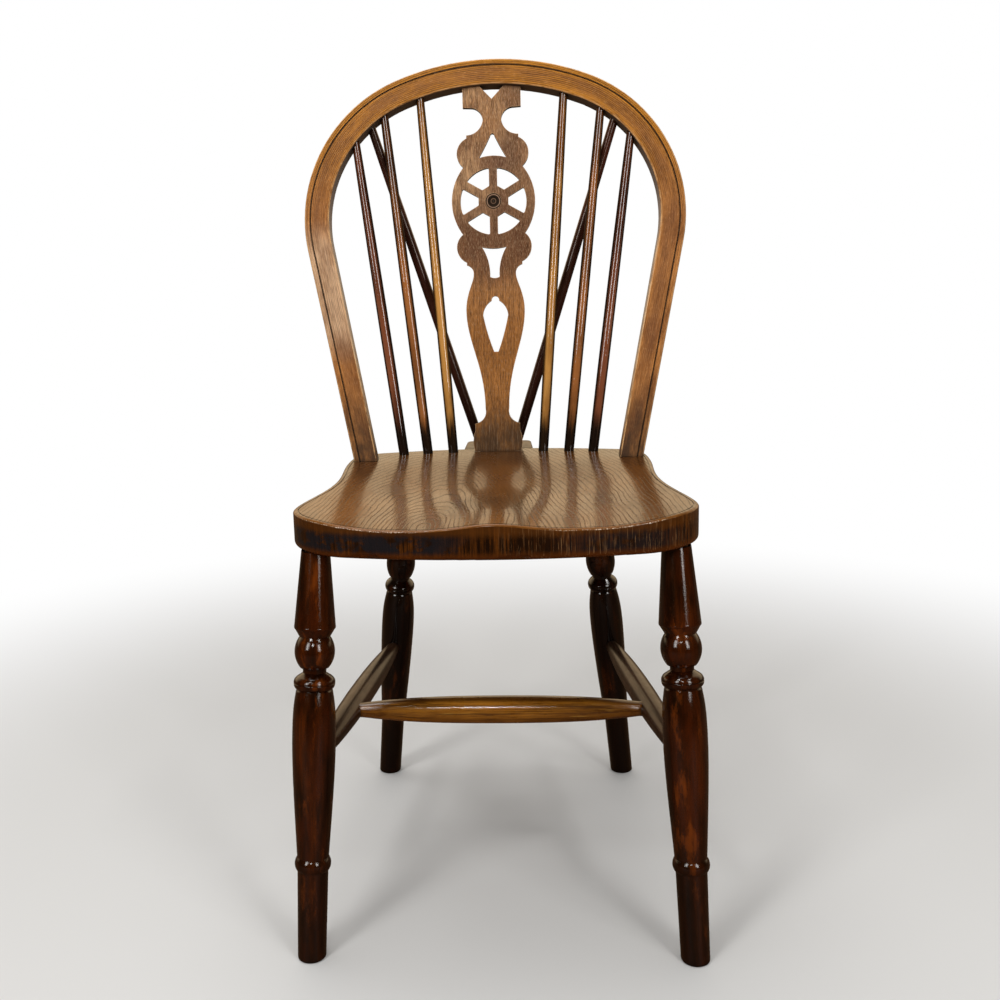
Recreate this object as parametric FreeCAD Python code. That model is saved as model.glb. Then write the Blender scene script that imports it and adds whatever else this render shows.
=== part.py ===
import FreeCAD, Part
import math
import os

# Wheelback dining chair: a saddled seat on four turned legs, a bent hoop back with
# a pierced wheel splat, six spindles and two braces behind, all of wood.
# Millimetres and degrees. The chair faces -Y, left is -X, and the floor is z = 0.
# The pieces are laid out with y = 0 at the seat's front edge; at the end they all
# move together, so that the origin is the middle of the space the chair takes up.

# Joints
GLUE_GAP = 0.15

# Seat; what stands towards the back is set in from the rear edge
SEAT_HEIGHT = 441.0
SEAT_THICKNESS = 35.5
SEAT_DEPTH = 419.0
SEAT_FRONT_RADIUS = 690.0
SEAT_FRONT_HALF = 143.0
SEAT_WIDEST_HALF = 201.5
SEAT_WIDEST_Y = 80.0
SEAT_CORNER_REACH = 30.0
SEAT_WIDEST_REACH = 35.0
SEAT_WAIST_HALF = 179.5
SEAT_WAIST_Y = 235.0
SEAT_WAIST_REACH = 75.0
SEAT_BACK_HALF = 183.0
SEAT_BACK_INSET = 94.0
SEAT_BACK_Y = SEAT_DEPTH - SEAT_BACK_INSET
SEAT_BACK_REACH = 35.0
SEAT_REAR_CORNER_REACH = 48.0
SEAT_REAR_HALF = 150.0
SEAT_REAR_RADIUS = 562.0
SEAT_REAR_REACH = 30.0
SEAT_TOP_ROUND = 2.5
SEAT_BOTTOM_ROUND = 6.0

# Saddling of the seat's top
SADDLE_SIDE_START = 90.0
SADDLE_SIDE_END = 197.0
SADDLE_FRONT_DEPTH = 6.2
SADDLE_MIDDLE_DEPTH = 9.5
SADDLE_MIDDLE_Y = 170.0
SADDLE_REAR_INSET = 24.0
SADDLE_REAR_END = SEAT_DEPTH - SADDLE_REAR_INSET
SADDLE_COLUMNS = 31
SADDLE_ROWS = 27
POMMEL_HALF_WIDTH = 42.0
POMMEL_LENGTH = 235.0

# Line scribed just inside the seat's rim
SCRIBE_INSET = 4.6
SCRIBE_WIDTH = 1.2
SCRIBE_DEPTH = 0.8
SCRIBE_END_INSET = 67.0
SCRIBE_END_Y = SEAT_DEPTH - SCRIBE_END_INSET

# Tail block behind the seat, which carries the braces
TAIL_LENGTH = 62.0
TAIL_HALF = 45.0
TAIL_END_HALF = 42.5
TAIL_THICKNESS = 30.0
TAIL_CORNER_RADIUS = 8.0
TAIL_ROUND = 3.0
TAIL_TONGUE_WALL = 3.5
TAIL_TONGUE_HALF = 32.0
TAIL_TONGUE_THICKNESS = 12.0

# Hoop: its outer outline, in its own leaning plane
HOOP_FOOT_INSET = 78.5
HOOP_FOOT_Y = SEAT_DEPTH - HOOP_FOOT_INSET
HOOP_RAKE = 11.44
HOOP_FOOT_HALF = 176.6
HOOP_SPLAY = 11.5
HOOP_STILE_HEIGHT = 261.4
HOOP_SIDE_RADIUS = 183.2
HOOP_TOP_RADIUS = 317.7
HOOP_WIDTH = 30.8
HOOP_FOOT_WIDTH = 28.0
HOOP_DEPTH = 26.0
HOOP_FRONT_ROUND = 2.5
HOOP_BACK_ROUND = 4.0
HOOP_LINE_INSET = 7.0
HOOP_LINE_WIDTH = 1.4
HOOP_LINE_DEPTH = 1.2
HOOP_TENON_RADIUS = 9.0
HOOP_WEDGE_LENGTH = 22.0
HOOP_WEDGE_THICKNESS = 3.2
HOOP_WEDGE_TIP = 0.8

# Spindles, from the middle outwards, and the braces
SPINDLE_NAMES = ("inner", "middle", "outer")
INNER_SPINDLE_FOOT_X = 57.0
MIDDLE_SPINDLE_FOOT_X = 89.0
OUTER_SPINDLE_FOOT_X = 119.0
INNER_SPINDLE_HEAD_X = 88.2
MIDDLE_SPINDLE_HEAD_X = 133.0
OUTER_SPINDLE_HEAD_X = 168.9
SPINDLE_ROW_INSET = 19.5
SPINDLE_FOOT_RADIUS = 6.1
SPINDLE_BELLY_RADIUS = 6.6
SPINDLE_BELLY_HEIGHT = 170.0
SPINDLE_HEAD_RADIUS = 5.0
SPINDLE_FOOT_DEPTH = 22.0
SPINDLE_HEAD_DEPTH = 14.0
SPINDLE_DEPTH_IN_HOOP = 9.5
BRACE_FOOT_X = 22.5
BRACE_FOOT_BEHIND_SEAT = 19.5
BRACE_HEAD_X = 149.5
BRACE_DEPTH_IN_HOOP = 17.5
BRACE_FOOT_RADIUS = 6.0
BRACE_BELLY_RADIUS = 6.4
BRACE_HEAD_RADIUS = 5.2

# Splat: a flat board pierced with a wheel; heights are above the seat, along the board
SPLAT_THICKNESS = 8.0
SPLAT_DEPTH_IN_HOOP = 11.0
SPLAT_TONGUE_HALF = 22.0
SPLAT_TONGUE_DEPTH = 18.0
SPLAT_HORN_DEPTH = 10.0
SPLAT_FOOT_HALF = 29.3
SPLAT_FOOT_LOBE_BOW = 2.3
SPLAT_FOOT_STEP_HALF = 28.2
SPLAT_FOOT_STEP_Z = 26.5
SPLAT_FOOT_STEP_RISE = 8.7
SPLAT_COVE_BOW = 5.2
SPLAT_NECK_HALF = 15.0
SPLAT_NECK_Z = 54.0
SPLAT_NECK_REACH = 55.0
SPLAT_SWELL_HALF = 36.6
SPLAT_SWELL_Z = 177.0
SPLAT_SWELL_LOW_REACH = 40.0
SPLAT_SWELL_HIGH_REACH = 22.0
SPLAT_WAIST_HALF = 26.4
SPLAT_WAIST_Z = 222.0
SPLAT_WAIST_REACH = 10.0
SPLAT_WAIST_BOW = 2.6
SPLAT_LOWER_LOBE_HALF = 34.6
SPLAT_LOWER_LOBE_Z = 237.0
SPLAT_LOWER_LOBE_STEP = 3.5
SPLAT_LOWER_LOBE_BOW = 9.9
SPLAT_LOWER_NOTCH_HALF = 38.6
SPLAT_LOWER_NOTCH_DROP = 40.0
WHEEL_Z = 311.4
WHEEL_HALF_WIDTH = 51.7
WHEEL_BORE_RADIUS = 41.0
WHEEL_HUB_FLAT = 18.5
WHEEL_SPOKE_WIDTH = 10.0
WHEEL_SPOKES = 6
WINDOW_CORNER_RADIUS = 1.5
SPLAT_UPPER_NOTCH_HALF = 36.5
SPLAT_UPPER_NOTCH_RISE = 42.0
SPLAT_UPPER_LOBE_BOW = 10.0
SPLAT_UPPER_LOBE_HALF = 32.2
SPLAT_UPPER_LOBE_RISE = 76.9
SPLAT_UPPER_LOBE_STEP = 3.8
SPLAT_THROAT_HALF = 11.5
SPLAT_THROAT_RISE = 98.0
SPLAT_THROAT_LOW_BOW = 5.1
SPLAT_THROAT_HIGH_HALF = 25.0
SPLAT_THROAT_HIGH_BOW = 4.1
SPLAT_BLOCK_HALF = 35.8
SPLAT_BLOCK_RISE = 114.0
SPLAT_BLOCK_SLOPE = 0.6
SPLAT_VEE_HALF = 14.5
SPLAT_VEE_DEPTH = 15.6
PEAK_HALF = 17.3
PEAK_TIP_RADIUS = 2.7
PEAK_BASE_RADIUS = 55.3
PEAK_HEIGHT = 29.6
PEAK_SIDE_BOW = 0.4
KEY_HALF = 15.3
KEY_TOP_RADIUS = 58.0
KEY_BOTTOM_HALF = 5.9
KEY_HEIGHT = 37.0
KEY_SIDE_BOW = 3.0
KEY_BOTTOM_BOW = 1.6
DROP_HALF = 15.7
DROP_Z = 171.0
DROP_TOP_HALF = 4.6
DROP_SHOULDER_RISE = 18.0
DROP_SHOULDER_BOW = 2.6
DROP_TOP_BOW = 5.5
DROP_POINT_HALF = 2.7
DROP_POINT_FALL = 45.7
DROP_SIDE_BOW = 1.0
BOSS_RING_RADII = ((8.4, 9.6), (3.2, 6.2))
BOSS_RING_DEPTH = 1.2
BOSS_DIMPLE_RADIUS = 1.3

# Legs: where their axes meet the seat's underside and the floor
FRONT_LEG_TOP_X = 176.6
FRONT_LEG_TOP_Y = 54.0
FRONT_LEG_FOOT_X = 190.5
FRONT_LEG_FOOT_Y = -7.3
REAR_LEG_TOP_X = 115.3
REAR_LEG_TOP_INSET = 79.0
REAR_LEG_TOP_Y = SEAT_DEPTH - REAR_LEG_TOP_INSET
REAR_LEG_FOOT_X = 156.6
REAR_LEG_FOOT_INSET = 5.0
REAR_LEG_FOOT_Y = SEAT_DEPTH - REAR_LEG_FOOT_INSET
LEG_TENON_RADIUS = 11.0
LEG_TENON_DEPTH = 22.0

# Turning of the legs, from the seat down
LEG_TOP_RADIUS = 14.2
CONE_LENGTH = 76.0
FRONT_CONE_RADIUS = 20.6
REAR_CONE_RADIUS = 19.2
CONE_LIP_LENGTH = 3.0
CONE_LIP_INSET = 1.0
CHAMFER_LENGTH = 10.5
THROAT_RADIUS = 15.3
BALL_LENGTH = 31.0
FRONT_BALL_RADIUS = 20.0
REAR_BALL_RADIUS = 18.0
BALL_FOOT_RADIUS = 14.2
NECK_RADIUS = 11.6
NECK_LENGTH = 5.0
SHOULDER_LENGTH = 4.0
SHOULDER_INSET = 3.0
COLLAR_LENGTH = 12.5
FRONT_COLLAR_RADIUS = 20.7
REAR_COLLAR_RADIUS = 18.5
COLLAR_LINE_DEPTH = 0.7
COLLAR_LINE_WIDTH = 1.6
COLLAR_UNDERCUT = 3.3
BODY_START_INSET = 2.4
FRONT_BODY_RADIUS = 21.7
REAR_BODY_RADIUS = 20.4
BODY_RISE_LENGTH = 50.0
BODY_START_REACH = 12.0
BODY_START_SLOPE = 0.16
BODY_CROWN_REACH = 32.0
ANKLE_REACH = 45.0
ANKLE_SLOPE = -0.062
FRONT_ANKLE_RADIUS = 15.9
REAR_ANKLE_RADIUS = 14.7
FRONT_ANKLE_DISTANCE = 308.0
REAR_ANKLE_DISTANCE = 335.0
BEAD_LENGTH = 13.5
BEAD_RADIUS = 18.2
SHIN_RADIUS = 15.4
FOOT_RADIUS = 14.1
FOOT_ROUND = 2.0

# Stretchers between the legs
STRETCHER_HEIGHT = 194.0
SIDE_STRETCHER_END_RADIUS = 7.5
SIDE_STRETCHER_RADIUS = 14.0
SIDE_STRETCHER_TAPER = 0.085
STRETCHER_LEG_DEPTH = 16.0
CROSS_STRETCHER_PLACE = 0.375
CROSS_STRETCHER_END_RADIUS = 8.0
CROSS_STRETCHER_RADIUS = 15.1
CROSS_STRETCHER_TAPER = 0.12
CROSS_STRETCHER_DEPTH = 10.0
STRETCHER_END_REACH = 45.0
STRETCHER_MIDDLE_REACH = 70.0

# Reach of the blocks that only cut other shapes, and how near counts as the same place
BEYOND = 8.0
HUGE = 1500.0
NEAR = 0.01


def v(x, y, z=0.0):
    return FreeCAD.Vector(x, y, z)


def sagitta(radius, half_chord):
    """How far an arc has bent away from its tangent at a half chord."""
    return radius - math.sqrt(radius ** 2 - half_chord ** 2)


def mirrored(shape):
    return shape.mirror(v(0, 0), v(1, 0))


def line(a, b):
    return Part.LineSegment(a, b).toShape()


def arc(a, middle, b):
    return Part.Arc(a, middle, b).toShape()


def bowed(a, b, bow):
    """An arc from a to b whose middle stands off to the right of the straight way by bow."""
    way = b - a
    right = v(way.y, -way.x).normalize()
    return arc(a, (a + b) * 0.5 + right * bow, b)


def curve(points):
    """A smooth curve through points."""
    spline = Part.BSplineCurve()
    spline.interpolate(points)
    return spline.toShape()


def bend(a, start_arm, b, end_arm):
    """A curve that leaves a along start_arm and comes into b along end_arm."""
    spline = Part.BezierCurve()
    spline.setPoles([a, a + start_arm, b - end_arm, b])
    return spline.toShape()


def filled(edges):
    return Part.Face(Part.Wire(Part.__sortEdges__(edges)))


def whole_wire(half):
    """Closes a half outline, right of the middle line, with its own mirror image."""
    return half + [mirrored(edge) for edge in half]


def half_space(z, above):
    """A big block that ends at the height z."""
    low = z if above else z - HUGE
    return Part.makeBox(2 * HUGE, 2 * HUGE, HUGE, v(-HUGE, -HUGE, low))


def leaning(rake, y):
    """Places a shape drawn flat, x across and y up, on a plane that leans back from the seat."""
    return FreeCAD.Placement(v(0, y, SEAT_HEIGHT), FreeCAD.Rotation(v(1, 0), 90 - rake))


def laid_along(shape, start, end):
    """Moves a shape drawn up the z axis from 0 onto the line from start to end."""
    placed = shape.copy()
    placed.Placement = FreeCAD.Placement(start, FreeCAD.Rotation(v(0, 0, 1), end - start))
    return placed


def rod(radius, low, high):
    return Part.makeCylinder(radius, high - low, v(0, 0, low))


class Turning:
    """The half profile of a turned piece: distance along it against radius."""

    def __init__(self, distance, radius):
        self.edges = [line(v(0, 0, distance), v(radius, 0, distance))]
        self.here = v(radius, 0, distance)

    def to(self, distance, radius):
        there = v(radius, 0, distance)
        self.edges.append(line(self.here, there))
        self.here = there
        return self

    def round_to(self, distance, radius, crown):
        middle = v(crown, 0, (self.here.z + distance) / 2)
        there = v(radius, 0, distance)
        self.edges.append(arc(self.here, middle, there))
        self.here = there
        return self

    def curve_to(self, stations):
        points = [self.here] + [v(radius, 0, distance) for distance, radius in stations]
        self.edges.append(curve(points))
        self.here = points[-1]
        return self

    def bend_to(self, distance, radius, reach, slope, end_reach, end_slope):
        """Goes on with one slope and arrives with another, in radius per distance."""
        there = v(radius, 0, distance)
        start_arm = v(slope, 0, 1) * reach
        end_arm = v(end_slope, 0, 1) * end_reach
        self.edges.append(bend(self.here, start_arm, there, end_arm))
        self.here = there
        return self

    def solid(self):
        end = v(0, 0, self.here.z)
        start = self.edges[0].Vertexes[0].Point
        outline = self.edges + [line(self.here, end), line(end, start)]
        return Part.Face(Part.Wire(outline)).revolve(v(0, 0), v(0, 0, 1), 360)


# Hoop outline: straight stiles, a side arc on each side and one top arc.

def hoop_arcs(inset):
    """Centres and radii of the side and top arcs, drawn in from the outer edge by inset."""
    splay = math.radians(HOOP_SPLAY)
    stile_end = v(HOOP_FOOT_HALF + HOOP_STILE_HEIGHT * math.tan(splay), HOOP_STILE_HEIGHT)
    inward = v(-math.cos(splay), math.sin(splay))
    side_centre = stile_end + inward * HOOP_SIDE_RADIUS
    between = HOOP_TOP_RADIUS - HOOP_SIDE_RADIUS
    top_centre = v(0, side_centre.y - math.sqrt(between ** 2 - side_centre.x ** 2))
    return side_centre, HOOP_SIDE_RADIUS - inset, top_centre, HOOP_TOP_RADIUS - inset, inward


def hoop_edges(inset, foot_inset, foot_z):
    """Right half of the hoop's outline at a distance in from the outer edge, from the foot up."""
    side_centre, side_radius, top_centre, top_radius, inward = hoop_arcs(inset)
    splay = math.radians(HOOP_SPLAY)
    stile_end = side_centre - inward * side_radius
    foot_x = HOOP_FOOT_HALF + foot_z * math.tan(splay) - foot_inset / math.cos(splay)
    joint = side_centre + (side_centre - top_centre).normalize() * side_radius
    mid_angle = (math.atan2(joint.y - side_centre.y, joint.x - side_centre.x) - splay) / 2
    side_middle = side_centre + v(math.cos(mid_angle), math.sin(mid_angle)) * side_radius
    top = top_centre + v(0, top_radius)
    top_mid_angle = (math.atan2(joint.y - top_centre.y, joint.x) + math.pi / 2) / 2
    top_middle = top_centre + v(math.cos(top_mid_angle), math.sin(top_mid_angle)) * top_radius
    return [
        line(v(foot_x, foot_z), stile_end),
        arc(stile_end, side_middle, joint),
        arc(joint, top_middle, top),
    ]


def hoop_band(outer_inset, inner_inset, outer_foot_inset, inner_foot_inset, foot_z):
    """The flat shape between two outlines of the hoop."""
    outer = hoop_edges(outer_inset, outer_foot_inset, foot_z)
    inner = hoop_edges(inner_inset, inner_foot_inset, foot_z)
    foot = line(outer[0].Vertexes[0].Point, inner[0].Vertexes[0].Point)
    return filled(whole_wire(outer + inner + [foot]))


def hoop_inside(x):
    """Height up the hoop's plane where its inner edge is at x."""
    side_centre, side_radius, top_centre, top_radius, inward = hoop_arcs(HOOP_WIDTH)
    joint_x = side_centre.x + (side_centre - top_centre).normalize().x * side_radius
    if x < joint_x:
        return top_centre.y + math.sqrt(top_radius ** 2 - x ** 2)
    return side_centre.y + math.sqrt(side_radius ** 2 - (x - side_centre.x) ** 2)


def hoop_point(x, height, depth):
    """The place in space of a point of the hoop, from its front face backwards."""
    return leaning(HOOP_RAKE, HOOP_FOOT_Y).multVec(v(x, height, -depth))


def hoop_tenon_line():
    """Where the right tenon starts, in the stile, and where it heads."""
    splay = math.radians(HOOP_SPLAY)
    foot_x = HOOP_FOOT_HALF - HOOP_FOOT_WIDTH / 2 / math.cos(splay)
    start = hoop_point(foot_x + HOOP_TENON_RADIUS * math.tan(splay), HOOP_TENON_RADIUS, HOOP_DEPTH / 2)
    end = hoop_point(foot_x - SEAT_THICKNESS * math.tan(splay), -SEAT_THICKNESS, HOOP_DEPTH / 2)
    return start, end


def hoop_tenon(radius):
    start, end = hoop_tenon_line()
    return laid_along(rod(radius, 0, (end - start).Length + 2 * BEYOND), start, end)


def hoop_kerf():
    """The slot that the wedge spreads, across the foot of the right tenon."""
    start, end = hoop_tenon_line()
    bottom = (end - start).Length
    top = bottom - HOOP_WEDGE_LENGTH
    flare = (HOOP_WEDGE_THICKNESS - HOOP_WEDGE_TIP) / 2 * (1 + 2 * BEYOND / HOOP_WEDGE_LENGTH)
    wide = HOOP_WEDGE_TIP / 2 + flare
    corners = [
        v(-HOOP_WEDGE_TIP / 2, -2 * HOOP_TENON_RADIUS, top),
        v(HOOP_WEDGE_TIP / 2, -2 * HOOP_TENON_RADIUS, top),
        v(wide, -2 * HOOP_TENON_RADIUS, bottom + 2 * BEYOND),
        v(-wide, -2 * HOOP_TENON_RADIUS, bottom + 2 * BEYOND),
    ]
    prism = Part.Face(Part.makePolygon(corners + corners[:1])).extrude(v(0, 4 * HOOP_TENON_RADIUS))
    return laid_along(prism, start, end)


def make_hoop():
    blank = hoop_band(0, HOOP_WIDTH, 0, HOOP_FOOT_WIDTH, -HOOP_DEPTH).extrude(v(0, 0, -HOOP_DEPTH))
    front = [edge for edge in blank.Edges if on_level(edge, 0) and not on_foot(edge)]
    back = [edge for edge in blank.Edges if on_level(edge, -HOOP_DEPTH) and not on_foot(edge)]
    blank = blank.makeFillet(HOOP_FRONT_ROUND, front)
    blank = blank.makeFillet(HOOP_BACK_ROUND, edges_like(blank, back))
    inset = HOOP_LINE_INSET + HOOP_LINE_WIDTH
    groove = hoop_band(HOOP_LINE_INSET, inset, HOOP_LINE_INSET, inset, -HOOP_DEPTH)
    blank = blank.cut(groove.extrude(v(0, 0, -HOOP_LINE_DEPTH)))
    blank.Placement = leaning(HOOP_RAKE, HOOP_FOOT_Y)
    hoop = blank.cut(half_space(SEAT_HEIGHT, above=False))
    tenon = hoop_tenon(HOOP_TENON_RADIUS).cut(half_space(SEAT_HEIGHT - SEAT_THICKNESS, above=False))
    tenon = tenon.cut(hoop_kerf())
    hoop = hoop.fuse([tenon, mirrored(tenon)])
    sockets = splat_mortises()
    for socket in spindle_heads(GLUE_GAP) + [brace_rod(GLUE_GAP)]:
        sockets += [socket, mirrored(socket)]
    return hoop.cut(sockets)


def on_level(edge, z):
    return all(abs(vertex.Z - z) < NEAR for vertex in edge.Vertexes)


def on_foot(edge):
    return all(abs(vertex.Y + HOOP_DEPTH) < NEAR for vertex in edge.Vertexes)


def edges_like(shape, wanted):
    """The edges of a shape that lie where the wanted ones do."""
    centres = [edge.CenterOfMass for edge in wanted]
    return [edge for edge in shape.Edges if any((edge.CenterOfMass - c).Length < NEAR for c in centres)]


def make_hoop_wedge():
    wedge = hoop_kerf().common(hoop_tenon(HOOP_TENON_RADIUS))
    return wedge.cut(half_space(SEAT_HEIGHT - SEAT_THICKNESS, above=False))


# Spindles and braces: straight rods, slightly swelled, let into round holes.

def seat_rear_edge(x):
    return SEAT_DEPTH - sagitta(SEAT_REAR_RADIUS, x)


def spindle_line(foot_x, head_x):
    foot = v(foot_x, seat_rear_edge(foot_x) - SPINDLE_ROW_INSET, SEAT_HEIGHT)
    return foot, hoop_point(head_x, hoop_inside(head_x), SPINDLE_DEPTH_IN_HOOP)


def brace_line():
    foot = v(BRACE_FOOT_X, seat_rear_edge(BRACE_FOOT_X) + BRACE_FOOT_BEHIND_SEAT, SEAT_HEIGHT)
    return foot, hoop_point(BRACE_HEAD_X, hoop_inside(BRACE_HEAD_X), BRACE_DEPTH_IN_HOOP)


SPINDLE_LINES = [
    spindle_line(INNER_SPINDLE_FOOT_X, INNER_SPINDLE_HEAD_X),
    spindle_line(MIDDLE_SPINDLE_FOOT_X, MIDDLE_SPINDLE_HEAD_X),
    spindle_line(OUTER_SPINDLE_FOOT_X, OUTER_SPINDLE_HEAD_X),
]


def swelled_rod(ends, foot_radius, belly_radius, head_radius, clearance=0.0):
    """A rod between two points that runs on into a hole at each end."""
    foot, head = ends
    length = (head - foot).Length
    turning = Turning(-SPINDLE_FOOT_DEPTH - clearance, foot_radius + clearance)
    turning.to(0, foot_radius + clearance)
    belly = (SPINDLE_BELLY_HEIGHT, belly_radius + clearance)
    turning.curve_to([belly, (length, head_radius + clearance)])
    turning.to(length + SPINDLE_HEAD_DEPTH + clearance, head_radius + clearance)
    return laid_along(turning.solid(), foot, head)


def spindle_rod(ends, clearance=0.0):
    return swelled_rod(ends, SPINDLE_FOOT_RADIUS, SPINDLE_BELLY_RADIUS, SPINDLE_HEAD_RADIUS, clearance)


def spindle_heads(clearance):
    return [spindle_rod(ends, clearance) for ends in SPINDLE_LINES]


def brace_rod(clearance=0.0):
    return swelled_rod(brace_line(), BRACE_FOOT_RADIUS, BRACE_BELLY_RADIUS, BRACE_HEAD_RADIUS, clearance)


# Splat: drawn flat, x across and y up the board from the seat.

def splat_rake():
    foot_y = seat_rear_edge(0) - SPINDLE_ROW_INSET
    head = hoop_point(0, hoop_inside(0), SPLAT_DEPTH_IN_HOOP)
    return math.degrees(math.atan2(head.y - foot_y, head.z - SEAT_HEIGHT))


def splat_height():
    """Length of the board from the seat to the underside of the hoop, at the middle."""
    foot = v(0, seat_rear_edge(0) - SPINDLE_ROW_INSET, SEAT_HEIGHT)
    return (hoop_point(0, hoop_inside(0), SPLAT_DEPTH_IN_HOOP) - foot).Length


def splat_placement():
    return leaning(splat_rake(), seat_rear_edge(0) - SPINDLE_ROW_INSET)


def splat_half_outline():
    """Right half of the board's outline, from the foot up to the notch under the hoop."""
    foot_low = v(SPLAT_FOOT_HALF, -SPLAT_THICKNESS)
    foot = v(SPLAT_FOOT_HALF, 0)
    step = v(SPLAT_FOOT_STEP_HALF, SPLAT_FOOT_STEP_Z)
    cove = step + v(0, SPLAT_FOOT_STEP_RISE)
    neck = v(SPLAT_NECK_HALF, SPLAT_NECK_Z)
    swell = v(SPLAT_SWELL_HALF, SPLAT_SWELL_Z)
    waist = v(SPLAT_WAIST_HALF, SPLAT_WAIST_Z)
    lower_lobe = v(SPLAT_LOWER_LOBE_HALF, SPLAT_LOWER_LOBE_Z)
    lower_step = lower_lobe - v(0, SPLAT_LOWER_LOBE_STEP)
    lower_notch = v(SPLAT_LOWER_NOTCH_HALF, WHEEL_Z - SPLAT_LOWER_NOTCH_DROP)
    upper_notch = v(SPLAT_UPPER_NOTCH_HALF, WHEEL_Z + SPLAT_UPPER_NOTCH_RISE)
    upper_lobe = v(SPLAT_UPPER_LOBE_HALF, WHEEL_Z + SPLAT_UPPER_LOBE_RISE)
    upper_step = upper_lobe + v(0, SPLAT_UPPER_LOBE_STEP)
    throat = v(SPLAT_THROAT_HALF, WHEEL_Z + SPLAT_THROAT_RISE)
    block = v(SPLAT_BLOCK_HALF, WHEEL_Z + SPLAT_BLOCK_RISE)
    throat_high = v(SPLAT_THROAT_HIGH_HALF, block.y - SPLAT_BLOCK_SLOPE)
    top = splat_height() + SPLAT_HORN_DEPTH
    hoop_drop = sagitta(HOOP_TOP_RADIUS - HOOP_WIDTH, SPLAT_VEE_HALF)
    vee_side = v(SPLAT_VEE_HALF, splat_height() - hoop_drop - GLUE_GAP)
    vee = v(0, splat_height() - SPLAT_VEE_DEPTH)
    return [
        line(v(0, -SPLAT_THICKNESS), foot_low),
        line(foot_low, foot),
        bowed(foot, step, SPLAT_FOOT_LOBE_BOW),
        line(step, cove),
        bowed(cove, neck, -SPLAT_COVE_BOW),
        bend(neck, v(0, SPLAT_NECK_REACH), swell, v(0, SPLAT_SWELL_LOW_REACH)),
        bend(swell, v(0, SPLAT_SWELL_HIGH_REACH), waist, v(0, SPLAT_WAIST_REACH)),
        bowed(waist, lower_step, -SPLAT_WAIST_BOW),
        line(lower_step, lower_lobe),
        bowed(lower_lobe, lower_notch, SPLAT_LOWER_LOBE_BOW),
        arc(lower_notch, v(WHEEL_HALF_WIDTH, WHEEL_Z), upper_notch),
        bowed(upper_notch, upper_lobe, SPLAT_UPPER_LOBE_BOW),
        line(upper_lobe, upper_step),
        bowed(upper_step, throat, -SPLAT_THROAT_LOW_BOW),
        bowed(throat, throat_high, -SPLAT_THROAT_HIGH_BOW),
        line(throat_high, block),
        line(block, v(SPLAT_BLOCK_HALF, top)),
        line(v(SPLAT_BLOCK_HALF, top), v(SPLAT_VEE_HALF, top)),
        line(v(SPLAT_VEE_HALF, top), vee_side),
        line(vee_side, vee),
    ]


def flipped(point):
    return v(-point.x, point.y)


def peak_hole():
    """The pointed hole above the wheel."""
    base = WHEEL_Z + PEAK_BASE_RADIUS
    corner = v(PEAK_HALF, base - sagitta(PEAK_BASE_RADIUS, PEAK_HALF))
    tip = v(PEAK_TIP_RADIUS, corner.y + PEAK_HEIGHT - PEAK_TIP_RADIUS)
    side = bowed(corner, tip, -PEAK_SIDE_BOW)
    return filled([
        arc(flipped(corner), v(0, base), corner),
        side,
        arc(tip, v(0, tip.y + PEAK_TIP_RADIUS), flipped(tip)),
        mirrored(side),
    ])


def key_hole():
    """The tapering hole below the wheel."""
    top = WHEEL_Z - KEY_TOP_RADIUS
    corner = v(KEY_HALF, top + sagitta(KEY_TOP_RADIUS, KEY_HALF))
    bottom = v(KEY_BOTTOM_HALF, corner.y - KEY_HEIGHT)
    side = bowed(corner, bottom, KEY_SIDE_BOW)
    return filled([
        arc(flipped(corner), v(0, top), corner),
        side,
        bowed(bottom, flipped(bottom), -KEY_BOTTOM_BOW),
        mirrored(side),
    ])


def drop_hole():
    """The drop-shaped hole in the swelling of the splat."""
    shoulder = v(DROP_TOP_HALF, DROP_Z + DROP_SHOULDER_RISE)
    widest = v(DROP_HALF, DROP_Z)
    point = v(DROP_POINT_HALF, DROP_Z - DROP_POINT_FALL)
    right = [
        bowed(shoulder, widest, -DROP_SHOULDER_BOW),
        bowed(widest, point, -DROP_SIDE_BOW),
        line(point, v(0, point.y)),
    ]
    top = bowed(flipped(shoulder), shoulder, -DROP_TOP_BOW)
    return filled(whole_wire(right) + [top])


def wheel_windows():
    """The gaps between the spokes: what the spokes and the hub leave of the bore."""
    disc = Part.makeCylinder(WHEEL_BORE_RADIUS, 2 * SPLAT_THICKNESS, v(0, 0, -SPLAT_THICKNESS))
    hub_radius = WHEEL_HUB_FLAT / math.cos(math.pi / WHEEL_SPOKES)
    step = 2 * math.pi / WHEEL_SPOKES
    corners = []
    for i in range(WHEEL_SPOKES + 1):
        angle = math.pi / 2 + i * step
        corners.append(v(hub_radius * math.cos(angle), hub_radius * math.sin(angle), -2 * SPLAT_THICKNESS))
    hub = Part.Face(Part.makePolygon(corners)).extrude(v(0, 0, 4 * SPLAT_THICKNESS))
    spokes = []
    for i in range(WHEEL_SPOKES):
        corner = v(0, -WHEEL_SPOKE_WIDTH / 2, -2 * SPLAT_THICKNESS)
        spoke = Part.makeBox(2 * WHEEL_BORE_RADIUS, WHEEL_SPOKE_WIDTH, 4 * SPLAT_THICKNESS, corner)
        spoke.rotate(v(0, 0), v(0, 0, 1), 90 + i * 360 / WHEEL_SPOKES)
        spokes.append(spoke)
    windows = []
    for window in disc.cut([hub] + spokes).Solids:
        upright = [edge for edge in window.Edges if is_upright(edge)]
        windows.append(window.makeFillet(WINDOW_CORNER_RADIUS, upright))
    for window in windows:
        window.translate(v(0, WHEEL_Z, 0))
    return windows


def is_upright(edge):
    a, b = edge.Vertexes[0].Point, edge.Vertexes[-1].Point
    return abs(a.z - b.z) > SPLAT_THICKNESS / 2


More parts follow.
